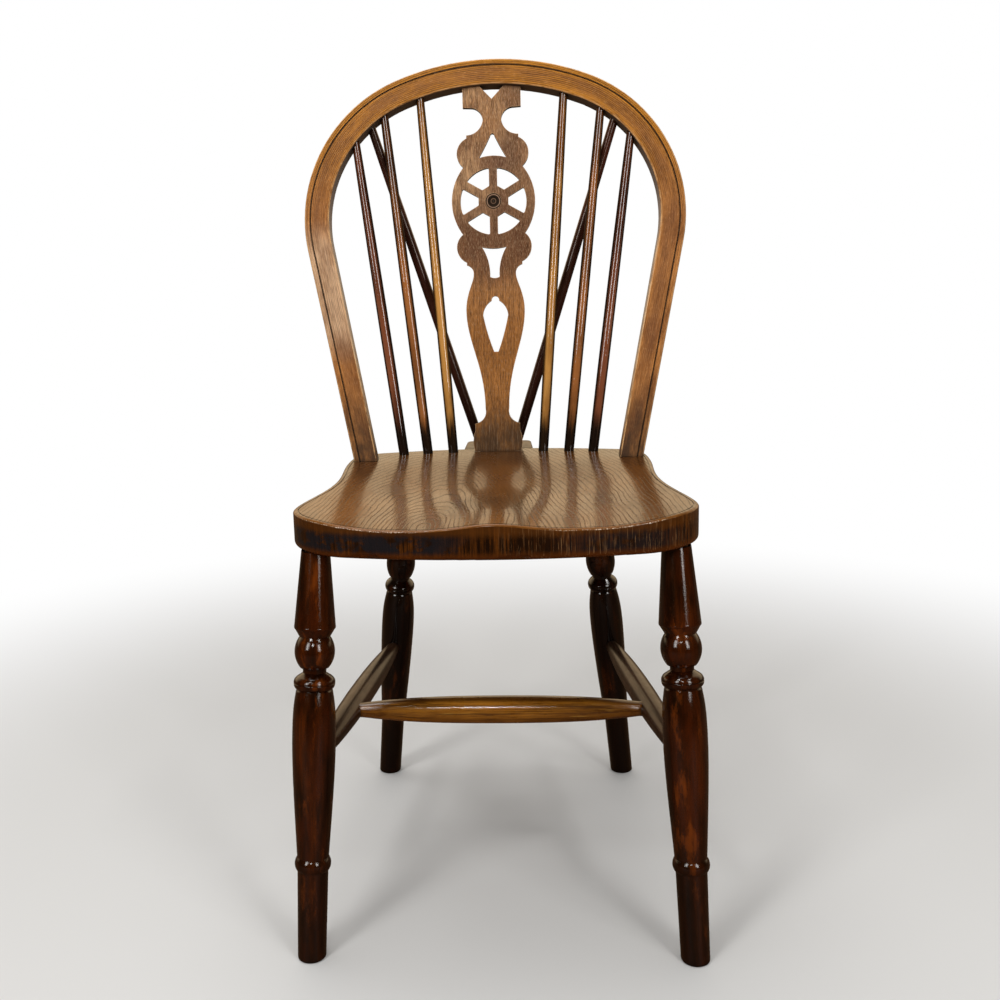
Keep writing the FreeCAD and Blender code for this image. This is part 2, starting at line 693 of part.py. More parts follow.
def boss_rings():
    """Rings turned into the front of the hub."""
    front = SPLAT_THICKNESS / 2
    centre = v(0, WHEEL_Z, front - BOSS_RING_DEPTH)
    rings = []
    for inner, outer in BOSS_RING_RADII:
        ring = Part.makeCylinder(outer, SPLAT_THICKNESS, centre)
        rings.append(ring.cut(Part.makeCylinder(inner, SPLAT_THICKNESS, centre)))
    rings.append(Part.makeCylinder(BOSS_DIMPLE_RADIUS, SPLAT_THICKNESS, centre))
    return rings


def splat_tongue(clearance=0.0):
    depth = SPLAT_TONGUE_DEPTH + clearance
    half = SPLAT_TONGUE_HALF + clearance
    thick = SPLAT_THICKNESS + 2 * clearance
    return Part.makeBox(2 * half, depth + SPLAT_THICKNESS, thick, v(-half, -depth, -thick / 2))


def splat_mortises():
    """Holes under the hoop that take the two horns of the splat."""
    mortises = []
    half_thick = SPLAT_THICKNESS / 2 + GLUE_GAP
    inner = SPLAT_VEE_HALF - GLUE_GAP
    outer = SPLAT_BLOCK_HALF + GLUE_GAP
    low = splat_height() - 4 * BEYOND
    high = splat_height() + SPLAT_HORN_DEPTH + GLUE_GAP
    mortise = Part.makeBox(outer - inner, high - low, 2 * half_thick, v(inner, low, -half_thick))
    mortise.Placement = splat_placement().multiply(mortise.Placement)
    return [mortise, mirrored(mortise)]


def make_splat():
    board = filled(whole_wire(splat_half_outline()))
    splat = board.extrude(v(0, 0, SPLAT_THICKNESS))
    splat.translate(v(0, 0, -SPLAT_THICKNESS / 2))
    holes = []
    for hole in (peak_hole(), key_hole(), drop_hole()):
        cutter = hole.extrude(v(0, 0, 2 * SPLAT_THICKNESS))
        cutter.translate(v(0, 0, -SPLAT_THICKNESS))
        holes.append(cutter)
    splat = splat.cut(holes + wheel_windows() + boss_rings())
    splat.Placement = splat_placement()
    tongue = splat_tongue()
    tongue.Placement = splat_placement().multiply(tongue.Placement)
    return splat.cut(half_space(SEAT_HEIGHT, above=False)).fuse(tongue).removeSplitter()


# Seat and tail block.

def seat_half_outline():
    """Right half of the seat's outline, from the middle of the front to the middle of the rear."""
    front_y = sagitta(SEAT_FRONT_RADIUS, SEAT_FRONT_HALF)
    front_end = v(SEAT_FRONT_HALF, front_y)
    front_middle = v(SEAT_FRONT_HALF / 2, sagitta(SEAT_FRONT_RADIUS, SEAT_FRONT_HALF / 2))
    front_slope = math.asin(SEAT_FRONT_HALF / SEAT_FRONT_RADIUS)
    front_way = v(math.cos(front_slope), math.sin(front_slope))
    widest = v(SEAT_WIDEST_HALF, SEAT_WIDEST_Y)
    waist = v(SEAT_WAIST_HALF, SEAT_WAIST_Y)
    back = v(SEAT_BACK_HALF, SEAT_BACK_Y)
    rear_end = v(SEAT_REAR_HALF, seat_rear_edge(SEAT_REAR_HALF))
    rear_middle = v(SEAT_REAR_HALF / 2, seat_rear_edge(SEAT_REAR_HALF / 2))
    rear_slope = math.asin(SEAT_REAR_HALF / SEAT_REAR_RADIUS)
    rear_way = v(-math.cos(rear_slope), math.sin(rear_slope))
    return [
        arc(v(0, 0), front_middle, front_end),
        bend(front_end, front_way * SEAT_CORNER_REACH, widest, v(0, SEAT_CORNER_REACH)),
        bend(widest, v(0, SEAT_WIDEST_REACH), waist, v(0, SEAT_WAIST_REACH)),
        bend(waist, v(0, SEAT_BACK_REACH), back, v(0, SEAT_BACK_REACH)),
        bend(back, v(0, SEAT_REAR_CORNER_REACH), rear_end, rear_way * SEAT_REAR_REACH),
        arc(rear_end, rear_middle, v(0, SEAT_DEPTH)),
    ]


def fade(place, start, end):
    """Falls smoothly from 1 at start to 0 at end."""
    share = min(1.0, max(0.0, (place - start) / (end - start)))
    return 1 - share ** 3 * (10 - 15 * share + 6 * share ** 2)


def saddle_depth(x, y):
    """How far the seat is hollowed at a place."""
    across = fade(abs(x), SADDLE_SIDE_START, SADDLE_SIDE_END)
    back = fade(y, SADDLE_MIDDLE_Y, SADDLE_REAR_END)
    forward = min(1.0, max(0.0, y / SADDLE_MIDDLE_Y))
    depth = SADDLE_FRONT_DEPTH + (SADDLE_MIDDLE_DEPTH - SADDLE_FRONT_DEPTH) * forward
    pommel = math.exp(-(x / POMMEL_HALF_WIDTH) ** 2) * fade(y, 0, POMMEL_LENGTH)
    return depth * across * back * (1 - pommel)


def saddle_cutter(drop=0.0):
    """A block whose underside is the hollowed top of the seat."""
    half = SEAT_WIDEST_HALF + 2 * BEYOND
    grid = []
    for i in range(SADDLE_COLUMNS):
        x = -half + 2 * half * i / (SADDLE_COLUMNS - 1)
        row = []
        for j in range(SADDLE_ROWS):
            y = -2 * BEYOND + (SEAT_DEPTH + 4 * BEYOND) * j / (SADDLE_ROWS - 1)
            row.append(v(x, y, SEAT_HEIGHT - saddle_depth(x, y) - drop))
        grid.append(row)
    surface = Part.BSplineSurface()
    surface.interpolate(grid)
    return surface.toShape().extrude(v(0, 0, 10 * BEYOND))


def inside_rim(inset):
    """The seat's outline at a distance in from its rim."""
    wire = Part.Wire(Part.__sortEdges__(whole_wire(seat_half_outline())))
    return Part.Face(Part.Wire(wire.makeOffset2D(-inset).toNurbs().Edges))


def scribe_line():
    """The groove that follows the rim, in front of the hoop's feet."""
    outer = inside_rim(SCRIBE_INSET).extrude(v(0, 0, HUGE))
    inner = inside_rim(SCRIBE_INSET + SCRIBE_WIDTH).extrude(v(0, 0, HUGE))
    front = Part.makeBox(2 * HUGE, HUGE + SCRIBE_END_Y, HUGE, v(-HUGE, -HUGE))
    return outer.cut(inner).common(front)


def make_seat():
    underside = SEAT_HEIGHT - SEAT_THICKNESS
    outline = filled(whole_wire(seat_half_outline()))
    outline.translate(v(0, 0, underside))
    sides = outline.OuterWire.extrude(v(0, 0, SEAT_THICKNESS))
    blank = outline.extrude(v(0, 0, SEAT_THICKNESS + BEYOND))
    blank = blank.makeFillet(SEAT_BOTTOM_ROUND, [edge for edge in blank.Edges if on_level(edge, underside)])
    seat = blank.cut(saddle_cutter())
    seat = seat.makeFillet(SEAT_TOP_ROUND, [edge for edge in seat.Edges if is_seat_rim(edge, sides)])
    seat = seat.cut(scribe_line().common(saddle_cutter(SCRIBE_DEPTH)))
    tongue = splat_tongue(GLUE_GAP)
    tongue.Placement = splat_placement().multiply(tongue.Placement)
    tools = [tongue, tail_tongue(GLUE_GAP)]
    for tool in spindle_heads(GLUE_GAP) + [hoop_tenon(HOOP_TENON_RADIUS + GLUE_GAP)] + leg_sockets():
        tools += [tool, mirrored(tool)]
    return seat.cut(tools)


def is_seat_rim(edge, sides):
    """Whether an edge runs round the top of the seat's sides."""
    points = edge.discretize(3)
    high = all(p.z > SEAT_HEIGHT - SEAT_THICKNESS / 2 for p in points)
    return high and all(sides.distToShape(Part.Vertex(p))[0] < NEAR for p in points)


def tail_tongue(clearance=0.0):
    """The tongue of the tail block, glued into the seat's rear edge behind the splat's tongue."""
    length = SPINDLE_ROW_INSET - SPLAT_THICKNESS / 2 - TAIL_TONGUE_WALL + clearance
    half = TAIL_TONGUE_HALF + clearance
    thick = TAIL_TONGUE_THICKNESS + 2 * clearance
    low = SEAT_HEIGHT - TAIL_THICKNESS / 2 - thick / 2
    start = seat_rear_edge(TAIL_TONGUE_HALF) - length
    return Part.makeBox(2 * half, length + TAIL_LENGTH / 2, thick, v(-half, start, low))


def make_tail_block():
    end_y = SEAT_DEPTH + TAIL_LENGTH
    root_y = seat_rear_edge(TAIL_HALF) - BEYOND
    corners = [
        v(-TAIL_HALF, root_y),
        v(TAIL_HALF, root_y),
        v(TAIL_END_HALF, end_y),
        v(-TAIL_END_HALF, end_y),
    ]
    block = Part.Face(Part.makePolygon(corners + corners[:1])).extrude(v(0, 0, TAIL_THICKNESS))
    block.translate(v(0, 0, SEAT_HEIGHT - TAIL_THICKNESS))
    ends = [edge for edge in block.Edges if is_end_corner(edge, end_y)]
    block = block.makeFillet(TAIL_CORNER_RADIUS, ends)
    rims = [edge for edge in block.Edges if is_tail_rim(edge, root_y)]
    block = block.makeFillet(TAIL_ROUND, rims)
    outline = filled(whole_wire(seat_half_outline()))
    block = block.cut(outline.extrude(v(0, 0, HUGE)))
    block = block.fuse(tail_tongue()).removeSplitter()
    hole = brace_rod(GLUE_GAP)
    return block.cut([hole, mirrored(hole)])


def is_end_corner(edge, end_y):
    points = [vertex.Point for vertex in edge.Vertexes]
    return all(abs(p.y - end_y) < NEAR for p in points) and abs(points[0].z - points[-1].z) > NEAR


def is_tail_rim(edge, root_y):
    points = [vertex.Point for vertex in edge.Vertexes]
    level = abs(points[0].z - points[-1].z) < NEAR
    return level and not all(abs(p.y - root_y) < NEAR for p in points)


# Legs and stretchers.

FRONT_LEG = (v(FRONT_LEG_TOP_X, FRONT_LEG_TOP_Y, SEAT_HEIGHT - SEAT_THICKNESS),
             v(FRONT_LEG_FOOT_X, FRONT_LEG_FOOT_Y, 0))
REAR_LEG = (v(REAR_LEG_TOP_X, REAR_LEG_TOP_Y, SEAT_HEIGHT - SEAT_THICKNESS),
            v(REAR_LEG_FOOT_X, REAR_LEG_FOOT_Y, 0))


def leg_head(cone_radius, ball_radius, collar_radius):
    """The turning shared by all legs: cone, ball, neck and ringed collar."""
    slope = (cone_radius - LEG_TOP_RADIUS) / CONE_LENGTH
    shoulder_radius = collar_radius - SHOULDER_INSET
    line_radius = collar_radius - COLLAR_LINE_DEPTH
    throat = CONE_LENGTH + CHAMFER_LENGTH
    ball_end = throat + BALL_LENGTH
    neck_end = ball_end + NECK_LENGTH
    collar = neck_end + SHOULDER_LENGTH
    line_start = collar + (COLLAR_LENGTH - COLLAR_LINE_WIDTH) / 2
    line_end = line_start + COLLAR_LINE_WIDTH
    turning = Turning(-BEYOND, LEG_TOP_RADIUS - slope * BEYOND)
    turning.to(CONE_LENGTH, cone_radius)
    turning.round_to(CONE_LENGTH + CONE_LIP_LENGTH, cone_radius - CONE_LIP_INSET, cone_radius)
    turning.to(throat, THROAT_RADIUS)
    turning.round_to(ball_end, BALL_FOOT_RADIUS, ball_radius)
    turning.to(ball_end, NECK_RADIUS)
    turning.to(neck_end, NECK_RADIUS)
    turning.to(collar, shoulder_radius)
    turning.round_to(line_start, collar_radius, line_radius)
    turning.round_to(line_end, collar_radius, line_radius)
    turning.round_to(collar + COLLAR_LENGTH, shoulder_radius, line_radius)
    turning.to(collar + COLLAR_LENGTH, collar_radius - COLLAR_UNDERCUT)
    return turning.to(collar + COLLAR_LENGTH + COLLAR_LINE_WIDTH, collar_radius - BODY_START_INSET)


def leg_body(turning, body_radius, ankle_radius, ankle):
    """The long swelling of a leg, down to its ankle."""
    crown = turning.here.z + BODY_RISE_LENGTH
    turning.bend_to(crown, body_radius, BODY_START_REACH, BODY_START_SLOPE, BODY_CROWN_REACH, 0)
    return turning.bend_to(ankle, ankle_radius, BODY_CROWN_REACH, 0, ANKLE_REACH, ANKLE_SLOPE)


def front_leg_turning(length):
    turning = leg_head(FRONT_CONE_RADIUS, FRONT_BALL_RADIUS, FRONT_COLLAR_RADIUS)
    leg_body(turning, FRONT_BODY_RADIUS, FRONT_ANKLE_RADIUS, FRONT_ANKLE_DISTANCE)
    bead_end = FRONT_ANKLE_DISTANCE + BEAD_LENGTH
    turning.round_to(bead_end, FRONT_ANKLE_RADIUS, BEAD_RADIUS)
    turning.to(bead_end, SHIN_RADIUS)
    return turning.to(length + BEYOND, FOOT_RADIUS)


def rear_leg_turning(length):
    turning = leg_head(REAR_CONE_RADIUS, REAR_BALL_RADIUS, REAR_COLLAR_RADIUS)
    leg_body(turning, REAR_BODY_RADIUS, REAR_ANKLE_RADIUS, REAR_ANKLE_DISTANCE)
    return turning.to(length + BEYOND, FOOT_RADIUS)


def make_leg(ends, turning_of, stretcher_socket):
    top, foot = ends
    body = laid_along(turning_of((foot - top).Length).solid(), top, foot)
    body = body.cut([half_space(SEAT_HEIGHT - SEAT_THICKNESS, above=True), half_space(0, above=False)])
    rim = [edge for edge in body.Edges if on_level(edge, 0)]
    body = body.makeFillet(FOOT_ROUND, rim)
    tenon = laid_along(rod(LEG_TENON_RADIUS, -LEG_TENON_DEPTH, BEYOND), top, foot)
    return body.fuse(tenon).removeSplitter().cut(stretcher_socket)


def leg_sockets():
    """Holes in the seat's underside for the front and rear leg on the right."""
    radius = LEG_TENON_RADIUS + GLUE_GAP
    low = -LEG_TENON_DEPTH - GLUE_GAP
    return [laid_along(rod(radius, low, 2 * BEYOND), top, foot) for top, foot in (FRONT_LEG, REAR_LEG)]


def leg_point(ends, z):
    top, foot = ends
    return foot + (top - foot) * (z / top.z)


def side_stretcher_line():
    return leg_point(FRONT_LEG, STRETCHER_HEIGHT), leg_point(REAR_LEG, STRETCHER_HEIGHT)


def cross_stretcher_line():
    front, rear = side_stretcher_line()
    right = front + (rear - front) * CROSS_STRETCHER_PLACE
    return v(-right.x, right.y, right.z), right


def stretcher_turning(start, end, tenon, end_radius, radius, taper, clearance=0.0):
    """A swelled rod with a straight tenon at each end, from start to end between its neighbours."""
    turning = Turning(start - tenon - clearance, end_radius + clearance)
    turning.to(start, end_radius + clearance)
    middle = (start + end) / 2
    turning.bend_to(middle, radius + clearance, STRETCHER_END_REACH, taper, STRETCHER_MIDDLE_REACH, 0)
    turning.bend_to(end, end_radius + clearance, STRETCHER_MIDDLE_REACH, 0, STRETCHER_END_REACH, -taper)
    return turning.to(end + tenon + clearance, end_radius + clearance)


def side_stretcher(clearance=0.0):
    front, rear = side_stretcher_line()
    end = (rear - front).Length - REAR_BODY_RADIUS
    turning = stretcher_turning(FRONT_BODY_RADIUS, end, STRETCHER_LEG_DEPTH, SIDE_STRETCHER_END_RADIUS,
                                SIDE_STRETCHER_RADIUS, SIDE_STRETCHER_TAPER, clearance)
    return laid_along(turning.solid(), front, rear)


def cross_stretcher(clearance=0.0):
    left, right = cross_stretcher_line()
    end = (right - left).Length - SIDE_STRETCHER_RADIUS
    turning = stretcher_turning(SIDE_STRETCHER_RADIUS, end, CROSS_STRETCHER_DEPTH,
                                CROSS_STRETCHER_END_RADIUS, CROSS_STRETCHER_RADIUS,
                                CROSS_STRETCHER_TAPER, clearance)
    return laid_along(turning.solid(), left, right)


def make_all():
    parts = {
        "seat": make_seat(),
        "tail_block": make_tail_block(),
        "hoop": make_hoop(),
        "splat": make_splat(),
        "cross_stretcher": cross_stretcher(),
    }
    socket = side_stretcher(GLUE_GAP)
    right_side = {
        "hoop_wedge": make_hoop_wedge(),
        "brace": brace_rod(),
        "front_leg": make_leg(FRONT_LEG, front_leg_turning, socket),
        "rear_leg": make_leg(REAR_LEG, rear_leg_turning, socket),
        "side_stretcher": side_stretcher().cut(cross_stretcher(GLUE_GAP)),
    }
    for name, ends in zip(SPINDLE_NAMES, SPINDLE_LINES):
        right_side[name + "_spindle"] = spindle_rod(ends)
    for name, shape in right_side.items():
        parts[name + "_right"] = shape
        parts[name + "_left"] = mirrored(shape)
    return parts


def write_all(parts):
    """Moves the origin to the middle of the chair's box, on the floor, and writes each piece."""
    os.makedirs("parts", exist_ok=True)
    box = FreeCAD.BoundBox()
    for shape in parts.values():
        box.add(shape.optimalBoundingBox(True, False))
    shift = v(-box.Center.x, -box.Center.y, 0)
    for name, shape in parts.items():
        moved = shape.copy()
        moved.translate(shift)
        moved.exportStep("parts/" + name + ".step")
    print("origin is at y = %.3f from the seat's front edge" % box.Center.y)
    print("size %.2f x %.2f x %.2f" % (box.XLength, box.YLength, box.ZLength))


write_all(make_all())
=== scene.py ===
"""Finishes, light and camera for the wheelback chair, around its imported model."""

import math

import bpy
import numpy as np
from mathutils import Matrix, Vector

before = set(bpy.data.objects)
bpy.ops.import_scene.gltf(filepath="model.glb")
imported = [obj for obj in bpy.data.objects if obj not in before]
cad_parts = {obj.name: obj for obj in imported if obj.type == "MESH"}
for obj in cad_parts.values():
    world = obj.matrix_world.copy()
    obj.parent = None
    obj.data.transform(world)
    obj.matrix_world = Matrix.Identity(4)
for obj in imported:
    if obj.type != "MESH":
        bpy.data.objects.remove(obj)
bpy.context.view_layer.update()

# Places and sizes, in metres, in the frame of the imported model. Rakes lean back from upright and
# the splay leans outwards, in degrees.
SEAT_TOP = 0.441
SEAT_THICKNESS = 0.0355
HOOP_FOOT_Y = 0.1107
HOOP_RAKE = 11.44
HOOP_FOOT_HALF = 0.1766
HOOP_SPLAY = 11.5
HOOP_STILE_HEIGHT = 0.2614
HOOP_SIDE_RADIUS = 0.1832
HOOP_TOP_RADIUS = 0.3177
HOOP_WIDTH = 0.0308
HOOP_LINE_INSET = 0.007
HOOP_LINE_HALF = 0.0004
SPLAT_FOOT_Y = 0.1697
SPLAT_RAKE = 5.46
SPLAT_WAIST_HEIGHT = 0.25
WHEEL_HEIGHT = 0.3114
HUB_RADIUS = 0.0094

# The heights over which the dark polish fades out, up a spindle, a brace and a leg.
SPINDLE_FOOT = (0.068, 0.1)
BRACE_FOOT = (0.05, 0.16)
SHIN = (0.085, 0.14)

# Year rings: the centre of the seat's rings (X, Y), how much they are drawn out along the grain,
# and the spacing of the dark lines on the seat and on the hoop.
SEAT_RING_CENTRE = (-0.066, -0.212)
SEAT_RING_STRETCH = 0.34
SEAT_RING_SPACING = 0.0054
SEAT_LOBE_CENTRE = (-0.038, 0.06)
SEAT_LOBE_STRETCH = 0.3
SEAT_LOBE_RADIUS = 0.062
HOOP_RING_SPACING = 0.0021
HOOP_RING_DRIFT = 0.005

# The wood under the polish, and the tint that old polish gives to what it reflects straight on.
WOOD_IOR = 1.45
SHEEN_TINT = (1.0, 0.66, 0.42, 1.0)

# The camera, solved from the photo.
CAMERA_PLACE = (0.0248, -1.2567, 0.6888)
CAMERA_DOWN = 0.1911
CAMERA_TURN = 0.0634
CAMERA_ROLL = -0.0298
CAMERA_LENS = 40.94
CAMERA_SENSOR = 36.0
CAMERA_SHIFT = (0.0526, -0.0262)

# The floor's half side and where it fades to white, in metres, and its colour to the camera, to
# the light that it throws back and to reflections.
FLOOR_HALF = 6
FLOOR_FADE = (0.55, 1.5)
FLOOR_ROUGHNESS = 0.7
FLOOR_SEEN = (0.78, 0.77, 0.75, 1)
FLOOR_LIGHT = (0.3, 0.19, 0.09, 1)
FLOOR_REFLECTED = (0.07, 0.028, 0.007, 1)

# The room around: its plain light, and the dim room and warm wall that reflections show.
WHITE = (1, 1, 1, 1)
ROOM_LIGHT = (0.36, 0.36, 0.36, 1)
ROOM_DIM = (0.035, 0.021, 0.01, 1)
ROOM_WALL = (0.95, 0.71, 0.43, 1)

# The lamps: name, place, point aimed at, width and height in metres, and power in watts.
LAMPS = (("window_left", (-1.6, -2.1, 1.7), (0, 0, 0.45), 0.6, 1.4, 18),
         ("window_right", (1.35, -2.1, 1.4), (0, 0, 0.45), 0.5, 1.3, 15),
         ("high_left", (-0.85, -1.35, 2.6), (0, 0, 0.3), 0.3, 0.3, 7),
         ("high_right", (1.3, -1.2, 2.6), (0, 0, 0.3), 0.3, 0.3, 5),
         ("front", (-0.22, -2.5, 2.15), (0, 0, 0.3), 0.3, 0.2, 6),
         ("overhead", (-0.3, 0.4, 2.6), (0, 0, 0.4), 1.6, 1.4, 20))


def paint(red, green, blue):
    """A colour given as 0 to 255 on screen, in linear light."""
    linear = []
    for part in (red, green, blue):
        part = part / 255
        linear.append(part / 12.92 if part <= 0.04045 else ((part + 0.055) / 1.055) ** 2.4)
    return (*linear, 1.0)


# The crests of the hub's turned rings: middle and half width of each, and its colour.
HUB_CRESTS = ((0.0079, 0.0004, paint(176, 142, 116)),
              (0.0031, 0.0004, paint(140, 108, 86)),
              (0.0, 0.0009, paint(120, 104, 92)))
# Each pair gives a finish its dark and its light tone.
FRONT_LEG_TONES = (paint(14, 4, 0), paint(68, 24, 2))
REAR_LEG_TONES = (paint(4, 1, 0), paint(12, 4, 1))
SPINDLE_TONES = (("inner", (paint(122, 68, 18), paint(224, 162, 84))),
                 ("middle", (paint(66, 35, 18), paint(182, 114, 60))),
                 ("outer", (paint(62, 26, 15), paint(146, 84, 54))))
# The colour of painted shade in grooves and corners.
CREVICE_SHADE = paint(14, 8, 6)
# Dark polish for the legs' shins, also used as painted shade on their sides.
DARK_POLISH_AND_SHADE = paint(14, 5, 1)


class Tree:
    """A node tree that is built by short calls, each of which returns a socket."""

    def __init__(self, tree):
        self.nodes = tree.nodes
        self.links = tree.links
        self.nodes.clear()

    def put(self, value, socket):
        """Links an output to the socket, or sets the socket's own value."""
        if isinstance(value, bpy.types.NodeSocket):
            self.links.new(value, socket)
        else:
            socket.default_value = value

    def node(self, kind, inputs, **settings):
        """Adds a node; inputs go by socket name or number, settings by property."""
        node = self.nodes.new(kind)
        for key, value in settings.items():
            setattr(node, key, value)
        for key, value in inputs.items():
            self.put(value, node.inputs[key])
        return node

    def math(self, operation, *values):
        """One operation on numbers."""
        node = self.node("ShaderNodeMath", dict(enumerate(values)), operation=operation)
        return node.outputs[0]

    def vector(self, operation, *values):
        """One operation on vectors; its output is a number where the operation gives one."""
        node = self.node("ShaderNodeVectorMath", dict(enumerate(values)), operation=operation)
        scalar = operation in ("LENGTH", "DOT_PRODUCT", "DISTANCE")
        return node.outputs["Value" if scalar else "Vector"]

    def split(self, vector):
        """The outputs X, Y and Z of a vector."""
        return self.node("ShaderNodeSeparateXYZ", {0: vector}).outputs

    def join(self, x, y, z):
        """A vector from three numbers."""
        return self.node("ShaderNodeCombineXYZ", {0: x, 1: y, 2: z}).outputs[0]

    def fade(self, value, low, high, start=0.0, end=1.0):
        """Goes smoothly from start to end as value goes from low to high."""
        inputs = {0: value, 1: low, 2: high, 3: start, 4: end}
        node = self.node("ShaderNodeMapRange", inputs, interpolation_type="SMOOTHSTEP")
        return node.outputs[0]

    def band(self, value, middle, half, soft):
        """1 where value is within half of middle, falling to 0 over soft."""
        away = self.math("ABSOLUTE", self.math("SUBTRACT", value, middle))
        return self.fade(away, half, half + soft, 1.0, 0.0)

    def mix(self, factor, first, second):
        """The first colour where factor is 0, the second where it is 1."""
        inputs = {0: factor, 6: first, 7: second}
        return self.node("ShaderNodeMix", inputs, data_type="RGBA").outputs[2]

    def noise(self, vector, scale, detail, roughness):
        """Noise with its own scale per axis, about 0 to 1."""
        stretched = self.vector("MULTIPLY", vector, scale)
        inputs = {"Vector": stretched, "Scale": 1.0, "Detail": detail,
                  "Roughness": roughness, "Distortion": 0.0}
        return self.node("ShaderNodeTexNoise", inputs).outputs[0]

    def place(self, location, rotation):
        """Object coordinates seen from a frame at location, turned by rotation."""
        coordinates = self.node("ShaderNodeTexCoord", {}).outputs["Object"]
        inputs = {"Vector": coordinates, "Location": location, "Rotation": rotation}
        node = self.node("ShaderNodeMapping", inputs, vector_type="TEXTURE")
        return node.outputs[0]

    def normal(self):
        """The way the surface faces."""
        return self.node("ShaderNodeNewGeometry", {}).outputs["Normal"]

    def crevice_shade(self, distance):
        """1 deep in a groove or a corner, 0 on open wood: the mask for painted shade."""
        inputs = {"Distance": distance}
        node = self.node("ShaderNodeAmbientOcclusion", inputs, samples=6)
        return self.fade(node.outputs["AO"], 0.35, 0.95, 1.0, 0.0)

    def arris(self, width):
        """1 along the sharp edges, within width of them."""
        eased = self.node("ShaderNodeBevel", {"Radius": width}, samples=6).outputs[0]
        turn = self.vector("DOT_PRODUCT", eased, self.normal())
        return self.fade(turn, 0.86, 0.99, 1.0, 0.0)


class Wood:
    """A wood finish in the making: its place, colour, roughness and relief.

    Scales are in waves a metre on each axis, the last one or the middle one along the grain.
    Low and high are the noise levels between which a mark goes from none to full.
    Relief and depth are in metres.
    """

    def __init__(self, name, location=(0, 0, 0), rotation=(0, 0, 0), seed=0.0):
        self.material = bpy.data.materials.new(name)
        self.material.use_nodes = True
        self.tree = Tree(self.material.node_tree)
        self.at = self.tree.place(location, rotation)
        self.grain_at = self.tree.vector("ADD", self.at, (seed, seed * 0.7, seed * 1.3))
        self.colour = None
        self.relief = []

    def base(self, dark, light, scale):
        """Broad cloudy change between two tones."""
        cloud = self.tree.noise(self.grain_at, scale, 4.0, 0.6)
        self.colour = self.tree.mix(self.tree.fade(cloud, 0.3, 0.7), dark, light)

    def stain(self, mask, colour, strength=1.0):
        """Lays a colour over the wood where mask is 1."""
        if strength != 1.0:
            mask = self.tree.math("MULTIPLY", mask, strength)
        self.colour = self.tree.mix(mask, self.colour, colour)

    def streaks(self, scale, low, high, colour, strength, relief=0.0):
        """Fine long marks of one colour, where stretched noise passes low to high."""
        fibres = self.tree.noise(self.grain_at, scale, 4.0, 0.65)
        self.stain(self.tree.fade(fibres, low, high), colour, strength)
        if relief:
            self.relief.append((fibres, relief))

    def mottle(self, mask, scale, low, high, least):
        """The mask, thinned by cloudy noise to no less than least."""
        cloud = self.tree.noise(self.grain_at, scale, 4.0, 0.6)
        return self.tree.math("MULTIPLY", mask, self.tree.fade(cloud, low, high, least, 1.0))

    def crackle(self, scale, depth):
        """The fine uneven skin of old polish, which breaks up its highlights."""
        skin = self.tree.noise(self.at, scale, 4.0, 0.6)
        self.relief.append((skin, depth))

    def finish(self, rough_low, rough_high, coat, coat_rough, sheen=0.3,
               scuff_scale=(60, 60, 60), coat_ior=1.5):
        """The surface shader: wood between two roughnesses under a coat of polish."""
        tree = self.tree
        scuffs = tree.noise(self.grain_at, scuff_scale, 5.0, 0.65)
        rough = tree.fade(scuffs, 0.3, 0.7, rough_low, rough_high)
        normal = None
        for height, depth in self.relief:
            inputs = {"Height": height, "Distance": depth, "Strength": 1.0}
            if normal is not None:
                inputs["Normal"] = normal
            normal = tree.node("ShaderNodeBump", inputs).outputs[0]
        inputs = {"Base Color": self.colour, "Roughness": rough, "IOR": WOOD_IOR,
                  "Specular IOR Level": sheen, "Specular Tint": SHEEN_TINT,
                  "Coat Weight": coat, "Coat Roughness": coat_rough, "Coat IOR": coat_ior}
        if normal is not None:
            inputs["Normal"] = normal
            inputs["Coat Normal"] = normal
        shader = tree.node("ShaderNodeBsdfPrincipled", inputs)
        output = tree.node("ShaderNodeOutputMaterial", {})
        tree.links.new(shader.outputs[0], output.inputs[0])
        return self.material


def dress(name, material):
    """Gives every slot of a node the material."""
    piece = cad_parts[name]
    if not piece.material_slots:
        piece.data.materials.append(material)
    for slot in piece.material_slots:
        slot.material = material


def rod_axis(name):
    """The two ends of a long round piece's axis, the lower or left one first."""
    points = np.array([vertex.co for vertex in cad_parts[name].data.vertices])
    middle = points.mean(axis=0)
    spread, ways = np.linalg.eigh(np.cov((points - middle).T))
    way = ways[:, np.argmax(spread)]
    along = (points - middle) @ way
    ends = [Vector(middle + way * along.min()), Vector(middle + way * along.max())]
    upright = abs(way[2]) > 0.5
    return sorted(ends, key=lambda end: end.z if upright else end.x)


def rod_frame(name):
    """Location and rotation of a frame whose Z runs up a round piece from its lower end."""
    start, end = rod_axis(name)
    return start, (end - start).to_track_quat("Z", "Y").to_euler()


def lean_frame(y, rake):
    """Location and rotation of the board's frame: X across, Y up the board, Z to the front."""
    return (0, y, SEAT_TOP), (math.radians(90 - rake), 0, 0)


# Seat

